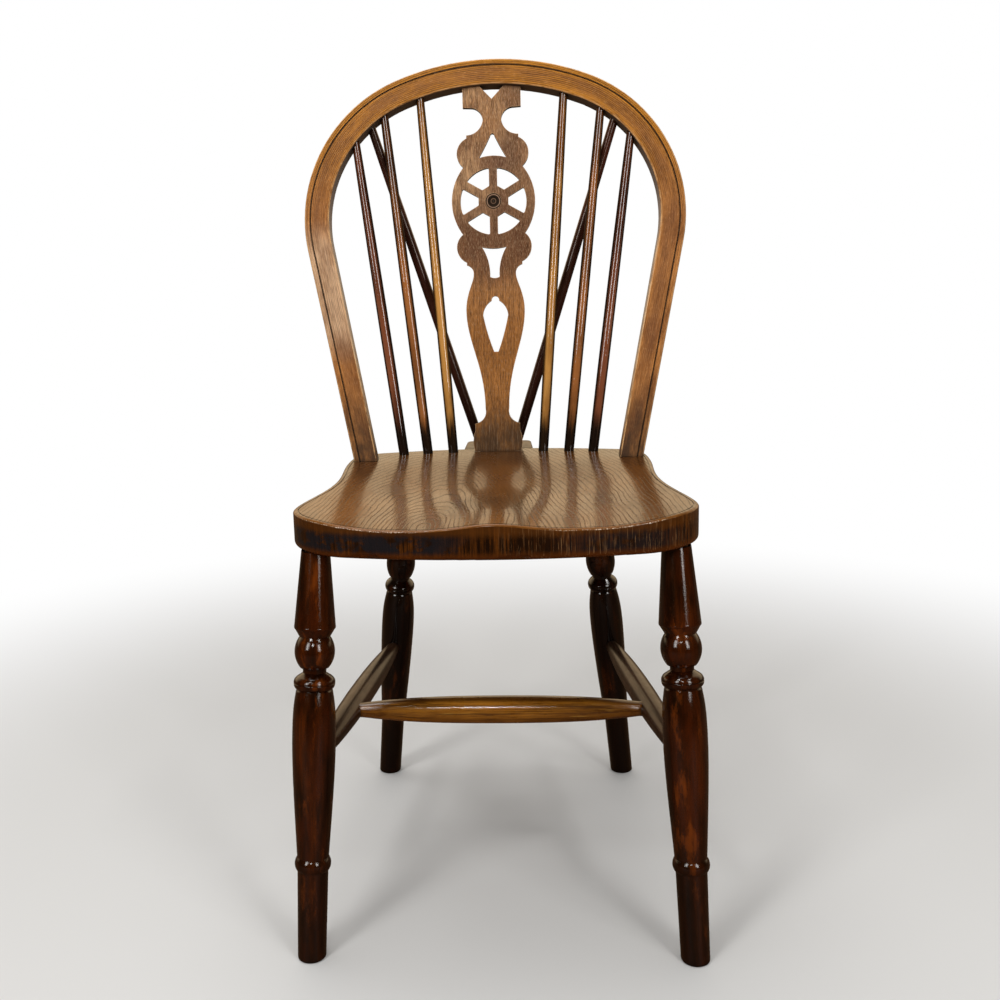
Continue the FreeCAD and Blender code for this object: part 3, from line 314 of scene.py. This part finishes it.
def seat_wood():
    """Glossy elm, its year rings cut by the saddle, with dark stained edges."""
    wood = Wood("seat_elm")
    tree = wood.tree
    x, y, z = tree.split(wood.at)[:3]
    up = tree.split(tree.normal())[2]
    wood.base(paint(74, 38, 3), paint(122, 70, 11), (9, 4, 7))
    wood.streaks((330, 12, 330), 0.42, 0.7, paint(74, 38, 7), 0.55, 0.00005)
    wood.streaks((900, 45, 900), 0.56, 0.7, paint(50, 26, 8), 0.5)
    edge = tree.fade(up, 0.35, 0.7, 1.0, 0.0)
    rings = seat_rings(wood, x, y, z)
    off_edge = tree.math("SUBTRACT", 1.0, tree.math("MULTIPLY", edge, 0.8))
    rings = tree.math("MULTIPLY", rings, off_edge)
    wood.stain(rings, paint(26, 12, 4), 0.8)
    wood.relief.append((rings, -0.00006))
    rear = tree.fade(y, 0.05, 0.16)
    wood.stain(wood.mottle(rear, (20, 14, 20), 0.3, 0.7, 0.5), paint(66, 40, 18), 0.7)
    seat_edge(wood, x, z, edge)
    seat_rim(wood, x, z, up)
    # Painted shade in grooves and round the joints.
    wood.stain(tree.crevice_shade(0.004), paint(22, 13, 7), 0.85)
    # The open pores and ring lines break up the gloss.
    pores = tree.fade(tree.noise(wood.at, (800, 36, 800), 4.0, 0.65), 0.5, 0.68)
    pores = tree.math("MULTIPLY", pores, 0.45)
    dull = tree.math("MAXIMUM", tree.math("MULTIPLY", rings, 0.8), pores)
    gloss = tree.math("SUBTRACT", 1.0, dull)
    coat = tree.math("MULTIPLY", gloss, 0.62)
    return wood.finish(0.2, 0.3, coat, 0.09, 0.25, (25, 14, 25))


def seat_rings(wood, x, y, z):
    """1 on the thin dark line at the start of each year ring."""
    tree = wood.tree
    drift = tree.noise(wood.at, (7, 3, 20), 2.0, 0.5)
    ripple = tree.noise(wood.at, (46, 12, 60), 3.0, 0.5)
    jitter = tree.noise(wood.at, (280, 60, 100), 2.0, 0.5)
    away = long_distance(tree, x, y, SEAT_RING_CENTRE, SEAT_RING_STRETCH)
    # A second, softer figure lies behind the first.
    lobe = long_distance(tree, x, y, SEAT_LOBE_CENTRE, SEAT_LOBE_STRETCH)
    lobe = tree.fade(lobe, 0.0, SEAT_LOBE_RADIUS, 1.0, 0.0)
    shifts = ((drift, 0.05), (ripple, 0.009), (jitter, 0.0016), (z, 1.6), (lobe, -0.03))
    for part, amount in shifts:
        away = tree.math("ADD", away, tree.math("MULTIPLY", part, amount))
    ring = tree.math("FRACT", tree.math("MULTIPLY", away, 1 / SEAT_RING_SPACING))
    start = tree.fade(ring, 0.0, 0.05)
    end = tree.fade(ring, 0.1, 0.28, 1.0, 0.0)
    line = tree.math("MULTIPLY", start, end)
    return wood.mottle(line, (30, 12, 30), 0.3, 0.55, 0.5)


def long_distance(tree, x, y, centre, stretch):
    """The distance from a centre, shortened along Y so that its circles are long ovals."""
    across = tree.math("SUBTRACT", x, centre[0])
    depth = tree.math("MULTIPLY", tree.math("SUBTRACT", y, centre[1]), stretch)
    return tree.vector("LENGTH", tree.join(across, depth, 0.0))


def seat_edge(wood, x, z, edge):
    """The edge: brown end grain in upright fibres, with black stain in patches."""
    tree = wood.tree
    fibres = tree.noise(wood.at, (420, 420, 22), 5.0, 0.65)
    clouds = tree.noise(wood.at, (24, 24, 34), 4.0, 0.6)
    brown = tree.mix(tree.fade(fibres, 0.36, 0.72), paint(24, 9, 2), paint(104, 56, 14))
    brown = tree.mix(tree.fade(clouds, 0.38, 0.6, 0.0, 0.8), brown, paint(26, 11, 4))
    upper = tree.fade(z, SEAT_TOP - 0.016, SEAT_TOP - 0.007)
    lower = tree.fade(z, SEAT_TOP - SEAT_THICKNESS + 0.002, SEAT_TOP - 0.025, 1.0, 0.0)
    brown = tree.mix(tree.math("MULTIPLY", upper, 0.5), brown, paint(100, 56, 18))
    brown = tree.mix(tree.math("MULTIPLY", lower, 0.6), brown, paint(104, 50, 8))
    middle = tree.band(z, SEAT_TOP - 0.02, 0.005, 0.007)
    left = tree.band(x, -0.12, 0.06, 0.05)
    right = tree.band(x, 0.125, 0.03, 0.05)
    places = tree.math("ADD", left, tree.math("MULTIPLY", right, 0.6))
    patches = tree.noise(wood.at, (50, 50, 60), 5.0, 0.65)
    patches = tree.fade(patches, 0.38, 0.5)
    black = tree.math("MULTIPLY", tree.math("MULTIPLY", patches, middle), places)
    brown = tree.mix(tree.math("MULTIPLY", black, 0.92), brown, paint(24, 26, 31))
    hairs = tree.noise(wood.at, (1400, 1400, 40), 3.0, 0.6)
    hairs = tree.math("MULTIPLY", tree.fade(hairs, 0.58, 0.68), tree.band(x, 0.11, 0.07, 0.05))
    brown = tree.mix(tree.math("MULTIPLY", hairs, 0.45), brown, paint(168, 126, 84))
    wood.stain(edge, brown)


def seat_rim(wood, x, z, up):
    """The rounded top edge, rubbed to pale brown, with a few pale specks: bare chips and painted
    glints.
    """
    tree = wood.tree
    near_top = tree.fade(z, SEAT_TOP - 0.013, SEAT_TOP - 0.008)
    rim = tree.math("MULTIPLY", tree.band(up, 0.62, 0.25, 0.12), near_top)
    wood.stain(wood.mottle(rim, (60, 60, 60), 0.3, 0.6, 0.4), paint(128, 78, 28), 0.75)
    specks = tree.noise(wood.at, (700, 700, 900), 3.0, 0.6)
    left = tree.band(x, -0.13, 0.04, 0.03)
    right = tree.band(x, 0.11, 0.04, 0.03)
    places = tree.math("MULTIPLY", tree.math("ADD", left, right), near_top)
    # Painted glints and bare chips: pale specks low on the rounded edge.
    chip_and_glint = tree.math("MULTIPLY", tree.band(up, 0.42, 0.1, 0.08), tree.fade(specks, 0.5, 0.6))
    wood.stain(tree.math("MULTIPLY", chip_and_glint, places), paint(232, 208, 178), 0.85)


# Hoop

def hoop_way(tree, at):
    """How far along the hoop, and how far in from its outer edge, a point is."""
    splay = math.radians(HOOP_SPLAY)
    stile_x = HOOP_FOOT_HALF + HOOP_STILE_HEIGHT * math.tan(splay)
    side_x = stile_x - HOOP_SIDE_RADIUS * math.cos(splay)
    side_h = HOOP_STILE_HEIGHT + HOOP_SIDE_RADIUS * math.sin(splay)
    top_h = side_h - math.sqrt((HOOP_TOP_RADIUS - HOOP_SIDE_RADIUS) ** 2 - side_x ** 2)
    joint_angle = math.atan2(side_h - top_h, side_x)
    crown = (joint_angle + splay) * HOOP_SIDE_RADIUS
    crown += (math.pi / 2 - joint_angle) * HOOP_TOP_RADIUS
    x, h, _ = tree.split(at)[:3]
    flat = tree.join(tree.math("ABSOLUTE", x), h, 0.0)
    from_side = tree.vector("SUBTRACT", flat, (side_x, side_h, 0))
    from_top = tree.vector("SUBTRACT", flat, (0, top_h, 0))
    out = (math.cos(splay), -math.sin(splay), 0)
    way = (math.sin(splay), math.cos(splay), 0)
    up_stile = tree.vector("DOT_PRODUCT", from_side, way)
    in_stile = tree.math("SUBTRACT", HOOP_SIDE_RADIUS, tree.vector("DOT_PRODUCT", from_side, out))
    in_side = tree.math("SUBTRACT", HOOP_SIDE_RADIUS, tree.vector("LENGTH", from_side))
    in_top = tree.math("SUBTRACT", HOOP_TOP_RADIUS, tree.vector("LENGTH", from_top))
    side_parts = tree.split(from_side)
    top_parts = tree.split(from_top)
    side_turn = tree.math("ARCTAN2", side_parts[1], side_parts[0])
    side_turn = tree.math("ADD", side_turn, splay)
    top_turn = tree.math("ARCTAN2", top_parts[1], top_parts[0])
    along_side = tree.math("MULTIPLY", side_turn, HOOP_SIDE_RADIUS)
    past = tree.math("MULTIPLY", tree.math("SUBTRACT", top_turn, joint_angle), HOOP_TOP_RADIUS)
    along_top = tree.math("ADD", past, (joint_angle + splay) * HOOP_SIDE_RADIUS)
    on_arcs = tree.math("GREATER_THAN", up_stile, 0.0)
    on_top = tree.math("GREATER_THAN", top_turn, joint_angle)

    def choose(stile, side, top):
        """The value for the stretch of the hoop that the point is on."""
        arcs = tree.node("ShaderNodeMix", {0: on_top, 2: side, 3: top}).outputs[0]
        return tree.node("ShaderNodeMix", {0: on_arcs, 2: stile, 3: arcs}).outputs[0]

    to_crown = tree.math("SUBTRACT", crown, choose(up_stile, along_side, along_top))
    along = tree.math("SUBTRACT", crown, tree.math("MULTIPLY", to_crown, tree.math("SIGN", x)))
    return along, choose(in_stile, in_side, in_top)


def hoop_wood():
    """Bent ash, golden at the crown and grey-brown at the feet, darker at the back, with painted
    light and shade.
    """
    wood = Wood("hoop_ash", *lean_frame(HOOP_FOOT_Y, HOOP_RAKE))
    tree = wood.tree
    x, height, front = tree.split(wood.at)[:3]
    along, inward = hoop_way(tree, wood.at)
    wood.grain_at = tree.join(inward, along, front)
    wood.base(paint(130, 76, 32), paint(216, 144, 74), (46, 14, 46))
    crown = tree.fade(height, 0.28, 0.44)
    wood.stain(crown, paint(218, 142, 26), 0.72)
    middle = wood.mottle(tree.band(inward, 0.018, 0.004, 0.007), (70, 22, 70), 0.3, 0.65, 0.3)
    wood.stain(middle, paint(142, 92, 58), 0.6)
    strip = tree.math("MULTIPLY", tree.fade(inward, 0.0055, 0.0066, 1.0, 0.0), crown)
    wood.stain(strip, paint(206, 134, 22), 0.5)
    # Painted light: part of the left stile is painted paler.
    left = tree.math("LESS_THAN", x, 0.0)
    pale = tree.math("MULTIPLY", tree.band(height, 0.21, 0.045, 0.05), left)
    wood.stain(wood.mottle(pale, (50, 14, 50), 0.3, 0.6, 0.4), paint(248, 214, 176), 0.65)
    # Year rings run along the hoop as close dark lines.
    drift = tree.noise(wood.grain_at, (40, 4, 40), 2.0, 0.5)
    across = tree.math("ADD", inward, tree.math("MULTIPLY", drift, HOOP_RING_DRIFT))
    ring = tree.math("FRACT", tree.math("MULTIPLY", across, 1 / HOOP_RING_SPACING))
    line = tree.math("MULTIPLY", tree.fade(ring, 0.0, 0.2), tree.fade(ring, 0.25, 0.7, 1.0, 0.0))
    line = wood.mottle(line, (90, 14, 90), 0.36, 0.56, 0.25)
    clear = tree.fade(height, 0.26, 0.4, 0.35, 1.0)
    wood.stain(tree.math("MULTIPLY", line, clear), paint(66, 34, 9), 0.85)
    wood.streaks((700, 20, 700), 0.42, 0.7, paint(104, 58, 22), 0.5, 0.00004)
    wood.streaks((1600, 60, 1600), 0.5, 0.64, paint(80, 44, 18), 0.55, 0.00004)
    wood.streaks((1500, 140, 1500), 0.54, 0.7, paint(232, 178, 118), 0.4)
    # The feet are grey with old polish.
    foot = wood.mottle(tree.fade(height, 0.015, 0.11, 1.0, 0.0), (120, 40, 120), 0.3, 0.65, 0.45)
    wood.stain(foot, paint(62, 45, 33), 0.9)
    # Painted light on the inner face, pale grey, and painted shade on it under the crown; then the
    # back.
    facing = tree.vector("DOT_PRODUCT", tree.normal(), lean_front(HOOP_RAKE))
    inner = tree.fade(inward, HOOP_WIDTH - 0.002, HOOP_WIDTH - 0.0008)
    turned = tree.fade(facing, 0.2, 0.6, 1.0, 0.0)
    inner = tree.math("MULTIPLY", inner, turned)
    wood.stain(inner, paint(168, 156, 146), 0.9)
    wood.stain(tree.math("MULTIPLY", inner, crown), paint(82, 70, 62), 0.9)
    back = tree.fade(facing, -0.7, -0.3, 1.0, 0.0)
    wood.stain(back, paint(112, 74, 40), 0.6)
    # Corners rubbed pale with painted highlights along them, the incised line, and painted shade
    # in the crevices.
    corner = tree.band(facing, 0.7, 0.16, 0.14)
    wear_and_highlight = wood.mottle(corner, (300, 60, 300), 0.35, 0.6, 0.1)
    wood.stain(wear_and_highlight, paint(236, 184, 124), 0.85)
    low = tree.fade(height, 0.1, 0.34, 1.0, 0.0)
    # Painted highlight and wear: the inner edge of the stiles is painted pale.
    rim = tree.math("MULTIPLY", tree.band(inward, HOOP_WIDTH - 0.0008, 0.0012, 0.0006), low)
    wood.stain(wood.mottle(rim, (200, 50, 200), 0.35, 0.6, 0.3), paint(246, 214, 172), 0.85)
    cut = tree.band(inward, HOOP_LINE_INSET, HOOP_LINE_HALF, HOOP_LINE_HALF)
    cut = tree.math("MULTIPLY", cut, tree.fade(front, -0.004, -0.002))
    wood.stain(cut, paint(34, 22, 12), 0.75)
    # Painted shade in grooves and round the joints.
    wood.stain(tree.crevice_shade(0.01), paint(14, 9, 6), 0.9)
    return wood.finish(0.42, 0.58, 0.15, 0.28)


def lean_front(rake):
    """The way a leaning board's front faces."""
    lean = math.radians(rake)
    return (0, -math.cos(lean), math.sin(lean))


# Splat

def splat_wood():
    """Upright-grained grey-brown board: painted light upper left, painted shade on sawn edges,
    dirty foot.
    """
    wood = Wood("splat_board", *lean_frame(SPLAT_FOOT_Y, SPLAT_RAKE), seed=2.0)
    tree = wood.tree
    across, height, _ = tree.split(wood.at)[:3]
    wood.base(paint(120, 79, 51), paint(192, 137, 87), (20, 9, 20))
    warm = tree.fade(height, 0.12, 0.3, 1.0, 0.0)
    wood.stain(warm, paint(200, 126, 44), 0.6)
    wheel = tree.band(height, WHEEL_HEIGHT - 0.01, 0.06, 0.05)
    wood.stain(wood.mottle(wheel, (22, 14, 22), 0.35, 0.6, 0.4), paint(112, 78, 64), 0.6)
    # Painted light: the upper left of the board is painted paler.
    lit = tree.fade(across, -0.03, 0.03, 1.0, 0.2)
    lit = tree.math("MULTIPLY", lit, tree.fade(height, 0.27, 0.33))
    wood.stain(wood.mottle(lit, (34, 20, 34), 0.4, 0.62, 0.1), paint(244, 194, 140), 0.6)
    waist = tree.band(height, SPLAT_WAIST_HEIGHT, 0.02, 0.03)
    waist = wood.mottle(waist, (40, 20, 40), 0.35, 0.6, 0.4)
    wood.stain(waist, paint(104, 64, 42), 0.6)
    wood.streaks((620, 30, 620), 0.38, 0.66, paint(84, 50, 28), 0.55, 0.00010)
    wood.streaks((1700, 100, 1700), 0.46, 0.62, paint(58, 34, 20), 0.65, 0.00010)
    upper = tree.fade(height, 0.16, 0.34, 0.22, 0.42)
    wood.streaks((2000, 190, 2000), 0.5, 0.66, paint(238, 200, 156), upper)
    foot = wood.mottle(tree.fade(height, 0.012, 0.075, 1.0, 0.0), (120, 40, 120), 0.25, 0.6, 0.6)
    wood.stain(foot, paint(62, 47, 34), 0.88)
    foot_hairs = tree.math("MULTIPLY", foot, 0.6)
    wood.streaks((1300, 50, 1300), 0.54, 0.66, paint(150, 124, 98), foot_hairs)
    # Sawn edges with painted shade, the turned hub, and painted shade in the crevices.
    facing = tree.vector("DOT_PRODUCT", tree.normal(), lean_front(SPLAT_RAKE))
    edge = tree.fade(tree.math("ABSOLUTE", facing), 0.3, 0.7, 1.0, 0.0)
    rubbed = tree.math("MULTIPLY", tree.arris(0.0014), tree.fade(facing, 0.6, 0.9))
    wood.stain(wood.mottle(rubbed, (160, 160, 160), 0.35, 0.6, 0.3), paint(236, 196, 150), 0.75)
    # Painted shade: the sawn edges are darkened.
    wood.stain(edge, paint(26, 16, 10), 0.92)
    hub_rings(wood, across, height, facing)
    # Painted shade in grooves and round the joints.
    wood.stain(tree.crevice_shade(0.005), paint(20, 14, 10), 0.9)
    return wood.finish(0.38, 0.56, 0.25, 0.24)


def hub_rings(wood, across, height, facing):
    """Dark polish in the turned hub, with the crests of its rings rubbed pale."""
    tree = wood.tree
    up = tree.math("SUBTRACT", height, WHEEL_HEIGHT)
    radius = tree.vector("LENGTH", tree.join(across, up, 0.0))
    front = tree.fade(facing, -0.2, 0.2)
    disc = tree.fade(radius, HUB_RADIUS, HUB_RADIUS + 0.0006, 1.0, 0.0)
    disc = tree.math("MULTIPLY", disc, front)
    wood.stain(disc, paint(20, 11, 7), 0.96)
    for middle, half, tone in HUB_CRESTS:
        crest = tree.math("MULTIPLY", tree.band(radius, middle, half, 0.0003), front)
        wood.stain(crest, tone, 0.85)


# Rods of the back

def spindle_wood(name, dark, light, seed):
    """A thin round spindle, light in front, with painted shade at its sides, dark at its foot and
    head.
    """
    wood = Wood(name + "_finish", *rod_frame(name), seed=seed)
    tree = wood.tree
    height = tree.split(wood.at)[2]
    start, end = rod_axis(name)
    length = (end - start).length
    wood.base(dark, light, (30, 30, 9))
    wood.streaks((300, 300, 9), 0.45, 0.72, dark, 0.35, 0.00002)
    wood.streaks((1300, 1300, 120), 0.54, 0.72, paint(70, 38, 18), 0.35)
    front = tree.math("MULTIPLY", tree.split(tree.normal())[1], -1.0)
    lowest = tree.band(height, 0.17, 0.05, 0.06)
    wood.stain(wood.mottle(lowest, (60, 60, 12), 0.4, 0.6, 0.4), light, 0.8)
    # Painted shade: the sides of the spindle, away from front and back, are darkened.
    side = tree.fade(tree.math("ABSOLUTE", front), 0.6, 0.95, 1.0, 0.0)
    wood.stain(side, paint(24, 11, 5), 0.95)
    rag = tree.noise(wood.grain_at, (320, 320, 16), 3.0, 0.6)
    ragged = tree.math("ADD", height, tree.math("MULTIPLY", rag, 0.05))
    foot = tree.fade(ragged, *SPINDLE_FOOT, 1.0, 0.0)
    wood.stain(foot, paint(14, 10, 9), 0.97)
    head = tree.fade(height, length - 0.04, length - 0.014)
    wood.stain(head, paint(70, 36, 14), 0.65)
    # Painted shade in grooves and round the joints.
    wood.stain(tree.crevice_shade(0.005), paint(16, 10, 7), 0.9)
    gloss = tree.fade(front, 0.45, 0.85)
    return wood.finish(0.26, 0.4, gloss, 0.04, 0.06, coat_ior=1.8)


def brace_wood(name, seed):
    """A slanting back stay, dark red-brown and nearly black towards its foot."""
    wood = Wood(name + "_finish", *rod_frame(name), seed=seed)
    tree = wood.tree
    wood.base(paint(40, 18, 13), paint(84, 42, 30), (24, 24, 7))
    wood.streaks((260, 260, 8), 0.4, 0.7, paint(24, 11, 8), 0.6, 0.00005)
    foot = tree.fade(tree.split(wood.at)[2], *BRACE_FOOT, 1.0, 0.0)
    wood.stain(foot, paint(20, 9, 7), 0.85)
    # Painted shade in grooves and round the joints.
    wood.stain(tree.crevice_shade(0.005), CREVICE_SHADE, 0.9)
    return wood.finish(0.26, 0.4, 0.6, 0.14, 0.4)


# Legs and stretchers

def leg_wood(name, seed, tones, glow):
    """Dark polish over red-brown beech, worn to red in patches, with painted shade on its sides
    and, near black, in its hollows.
    """
    wood = Wood(name + "_finish", *rod_frame(name), seed=seed)
    tree = wood.tree
    wood.base(*tones, (42, 42, 11))
    wood.streaks((90, 90, 8), 0.46, 0.74, paint(112, 52, 12), 0.5 * glow, 0.00002)
    wood.streaks((420, 420, 24), 0.42, 0.66, paint(12, 4, 1), 0.3)
    wood.streaks((1000, 1000, 90), 0.6, 0.72, paint(10, 5, 3), 0.6)
    patches = tree.noise(wood.grain_at, (50, 50, 14), 5.0, 0.65)
    wood.stain(tree.fade(patches, 0.54, 0.67), paint(140, 66, 14), 0.8 * glow)
    front = tree.math("ABSOLUTE", tree.split(tree.normal())[1])
    # Painted shade: the sides of the leg, away from front and back, are darkened.
    wood.stain(tree.fade(front, 0.4, 0.92, 1.0, 0.0), DARK_POLISH_AND_SHADE, 0.5)
    shin = tree.fade(tree.split(wood.at)[2], *SHIN, 1.0, 0.0)
    wood.stain(shin, DARK_POLISH_AND_SHADE, 0.5)
    # Painted shade, near black, in the hollows.
    wood.stain(tree.crevice_shade(0.006), paint(6, 3, 2), 0.9)
    wood.crackle((900, 900, 700), 0.00008)
    return wood.finish(0.2, 0.32, 0.9, 0.035, 0.1, coat_ior=1.65)


def side_stretcher_wood(name, seed):
    """Grey-brown polish over long dark grain."""
    wood = Wood(name + "_finish", *rod_frame(name), seed=seed)
    tree = wood.tree
    wood.base(paint(34, 19, 11), paint(70, 44, 27), (18, 18, 6))
    wood.streaks((220, 220, 7), 0.45, 0.7, paint(26, 14, 8), 0.7, 0.00007)
    wood.streaks((600, 600, 25), 0.58, 0.75, paint(120, 84, 56), 0.4)
    # Painted shade in grooves and round the joints.
    wood.stain(tree.crevice_shade(0.006), CREVICE_SHADE, 0.9)
    return wood.finish(0.28, 0.42, 0.45, 0.18, 0.25)


def cross_stretcher_wood():
    """Golden-brown beech with long dark grain, red and dark towards its ends."""
    wood = Wood("cross_stretcher_finish", *rod_frame("cross_stretcher"), seed=5.0)
    tree = wood.tree
    along = tree.split(wood.at)[2]
    start, end = rod_axis("cross_stretcher")
    length = (end - start).length
    wood.base(paint(116, 70, 18), paint(184, 120, 38), (26, 26, 7))
    wood.streaks((260, 260, 3), 0.46, 0.64, paint(66, 34, 8), 0.75, 0.00004)
    wood.streaks((800, 800, 36), 0.52, 0.68, paint(58, 32, 10), 0.6)
    wood.streaks((340, 340, 9), 0.6, 0.72, paint(206, 156, 70), 0.45)
    middle = length / 2
    ends = tree.math("SUBTRACT", 1.0, tree.band(along, middle, middle - 0.062, 0.04))
    wood.stain(ends, paint(72, 34, 12), 0.6)
    up = tree.split(tree.normal())[2]
    wood.stain(tree.fade(up, 0.72, 0.95), paint(44, 16, 4), 0.75)
    # Painted shade in grooves and round the joints.
    wood.stain(tree.crevice_shade(0.006), CREVICE_SHADE, 0.9)
    wood.crackle((1000, 1000, 800), 0.0001)
    return wood.finish(0.24, 0.38, 1.0, 0.06, 0.2, coat_ior=1.8)


def tail_wood():
    """Dull grey-brown, darker on its edges."""
    wood = Wood("tail_finish", seed=8.0)
    tree = wood.tree
    up = tree.split(tree.normal())[2]
    wood.base(paint(66, 48, 34), paint(104, 78, 54), (14, 10, 14))
    wood.streaks((300, 14, 300), 0.45, 0.72, paint(52, 34, 20), 0.6, 0.00008)
    edge = tree.fade(up, 0.35, 0.75, 1.0, 0.0)
    wood.stain(edge, paint(40, 26, 16), 0.7)
    # Painted shade in grooves and round the joints.
    wood.stain(tree.crevice_shade(0.006), paint(18, 12, 8), 0.85)
    return wood.finish(0.34, 0.48, 0.4, 0.2)


def wedge_wood():
    """Plain end grain under the seat."""
    wood = Wood("wedge_finish", seed=9.0)
    wood.base(paint(70, 46, 26), paint(104, 72, 42), (30, 30, 10))
    wood.streaks((500, 500, 30), 0.45, 0.7, paint(44, 28, 16), 0.6, 0.00005)
    return wood.finish(0.45, 0.6, 0.2, 0.3)


def dress_chair():
    """Gives every piece its finish; a seed of its own keeps any two from the same grain."""
    dress("seat", seat_wood())
    dress("hoop", hoop_wood())
    dress("splat", splat_wood())
    dress("tail_block", tail_wood())
    dress("cross_stretcher", cross_stretcher_wood())
    wedge = wedge_wood()
    for number, side in enumerate(("right", "left")):
        seed = 1.7 * number
        dress("hoop_wedge_" + side, wedge)
        for rank, (row, tones) in enumerate(SPINDLE_TONES):
            name = row + "_spindle_" + side
            dress(name, spindle_wood(name, *tones, seed + 0.6 * rank + 1.0))
        dress("brace_" + side, brace_wood("brace_" + side, seed + 3.1))
        front, rear = "front_leg_" + side, "rear_leg_" + side
        dress(front, leg_wood(front, seed + 4.1, FRONT_LEG_TONES, 0.6))
        dress(rear, leg_wood(rear, seed + 4.9, REAR_LEG_TONES, 0.2))
        dress("side_stretcher_" + side, side_stretcher_wood("side_stretcher_" + side, seed + 6.1))


# Room

def make_floor():
    """A plain pale floor that fades to white away from the chair and keeps its shadow."""
    mesh = bpy.data.meshes.new("floor")
    corners = [(-1, -1), (1, -1), (1, 1), (-1, 1)]
    corners = [(x * FLOOR_HALF, y * FLOOR_HALF, 0) for x, y in corners]
    mesh.from_pydata(corners, [], [(0, 1, 2, 3)])
    floor = bpy.data.objects.new("floor", mesh)
    bpy.context.scene.collection.objects.link(floor)
    material = bpy.data.materials.new("pale_floor")
    material.use_nodes = True
    tree = Tree(material.node_tree)
    coordinates = tree.node("ShaderNodeTexCoord", {}).outputs["Object"]
    away = tree.vector("LENGTH", coordinates)
    far = tree.fade(away, *FLOOR_FADE)
    path = tree.node("ShaderNodeLightPath", {}).outputs
    camera = path["Is Camera Ray"]
    tone = tree.mix(camera, FLOOR_LIGHT, FLOOR_SEEN)
    tone = tree.mix(path["Is Glossy Ray"], tone, FLOOR_REFLECTED)
    inputs = {"Base Color": tone, "Roughness": FLOOR_ROUGHNESS}
    pale = tree.node("ShaderNodeBsdfPrincipled", inputs)
    white = tree.node("ShaderNodeEmission", {0: WHITE, 1: 1.0})
    factor = tree.math("MULTIPLY", far, camera)
    inputs = {0: factor, 1: pale.outputs[0], 2: white.outputs[0]}
    mix = tree.node("ShaderNodeMixShader", inputs)
    output = tree.node("ShaderNodeOutputMaterial", {})
    tree.links.new(mix.outputs[0], output.inputs[0])
    mesh.materials.append(material)


def make_world():
    """White to the camera; reflections show a warm wall behind the chair, a dim room before it."""
    world = bpy.data.worlds.new("studio")
    world.use_nodes = True
    tree = Tree(world.node_tree)
    path = tree.node("ShaderNodeLightPath", {}).outputs
    way = tree.node("ShaderNodeTexCoord", {}).outputs["Generated"]
    parts = tree.split(way)
    wall = tree.math("MULTIPLY", tree.fade(parts[1], 0.1, 0.6), tree.fade(parts[2], -0.02, 0.16))
    reflected = tree.mix(wall, ROOM_DIM, ROOM_WALL)
    tone = tree.mix(path["Is Glossy Ray"], ROOM_LIGHT, reflected)
    tone = tree.mix(path["Is Camera Ray"], tone, WHITE)
    background = tree.node("ShaderNodeBackground", {0: tone, 1: 1.0})
    output = tree.node("ShaderNodeOutputWorld", {})
    tree.links.new(background.outputs[0], output.inputs[0])
    bpy.context.scene.world = world


def softbox(name, place, target, width, height, power):
    """A soft rectangular lamp at place, turned to its target."""
    lamp = bpy.data.lights.new(name, "AREA")
    lamp.shape = "RECTANGLE"
    lamp.size = width
    lamp.size_y = height
    lamp.energy = power
    box = bpy.data.objects.new(name, lamp)
    box.location = place
    box.rotation_euler = (Vector(target) - Vector(place)).to_track_quat("-Z", "Y").to_euler()
    bpy.context.scene.collection.objects.link(box)


def make_camera():
    """The camera, at the photograph's viewing angle."""
    pitch, turn, roll = CAMERA_DOWN, CAMERA_TURN, CAMERA_ROLL
    right = Vector((math.cos(turn), math.sin(turn), 0))
    level = Vector((-math.sin(turn), math.cos(turn), 0))
    ahead = level * math.cos(pitch) + Vector((0, 0, -math.sin(pitch)))
    down = ahead.cross(right)
    side = right * math.cos(roll) - down * math.sin(roll)
    up = -(right * math.sin(roll) + down * math.cos(roll))
    data = bpy.data.cameras.new("camera")
    data.lens = CAMERA_LENS
    data.sensor_width = CAMERA_SENSOR
    data.shift_x, data.shift_y = CAMERA_SHIFT
    camera = bpy.data.objects.new("camera", data)
    turned = Matrix((side, up, -ahead)).transposed()
    camera.matrix_world = Matrix.Translation(CAMERA_PLACE) @ turned.to_4x4()
    bpy.context.scene.collection.objects.link(camera)
    bpy.context.scene.camera = camera


dress_chair()
make_floor()
make_world()
for lamp in LAMPS:
    softbox(*lamp)
make_camera()
bpy.context.scene.view_settings.view_transform = "Standard"
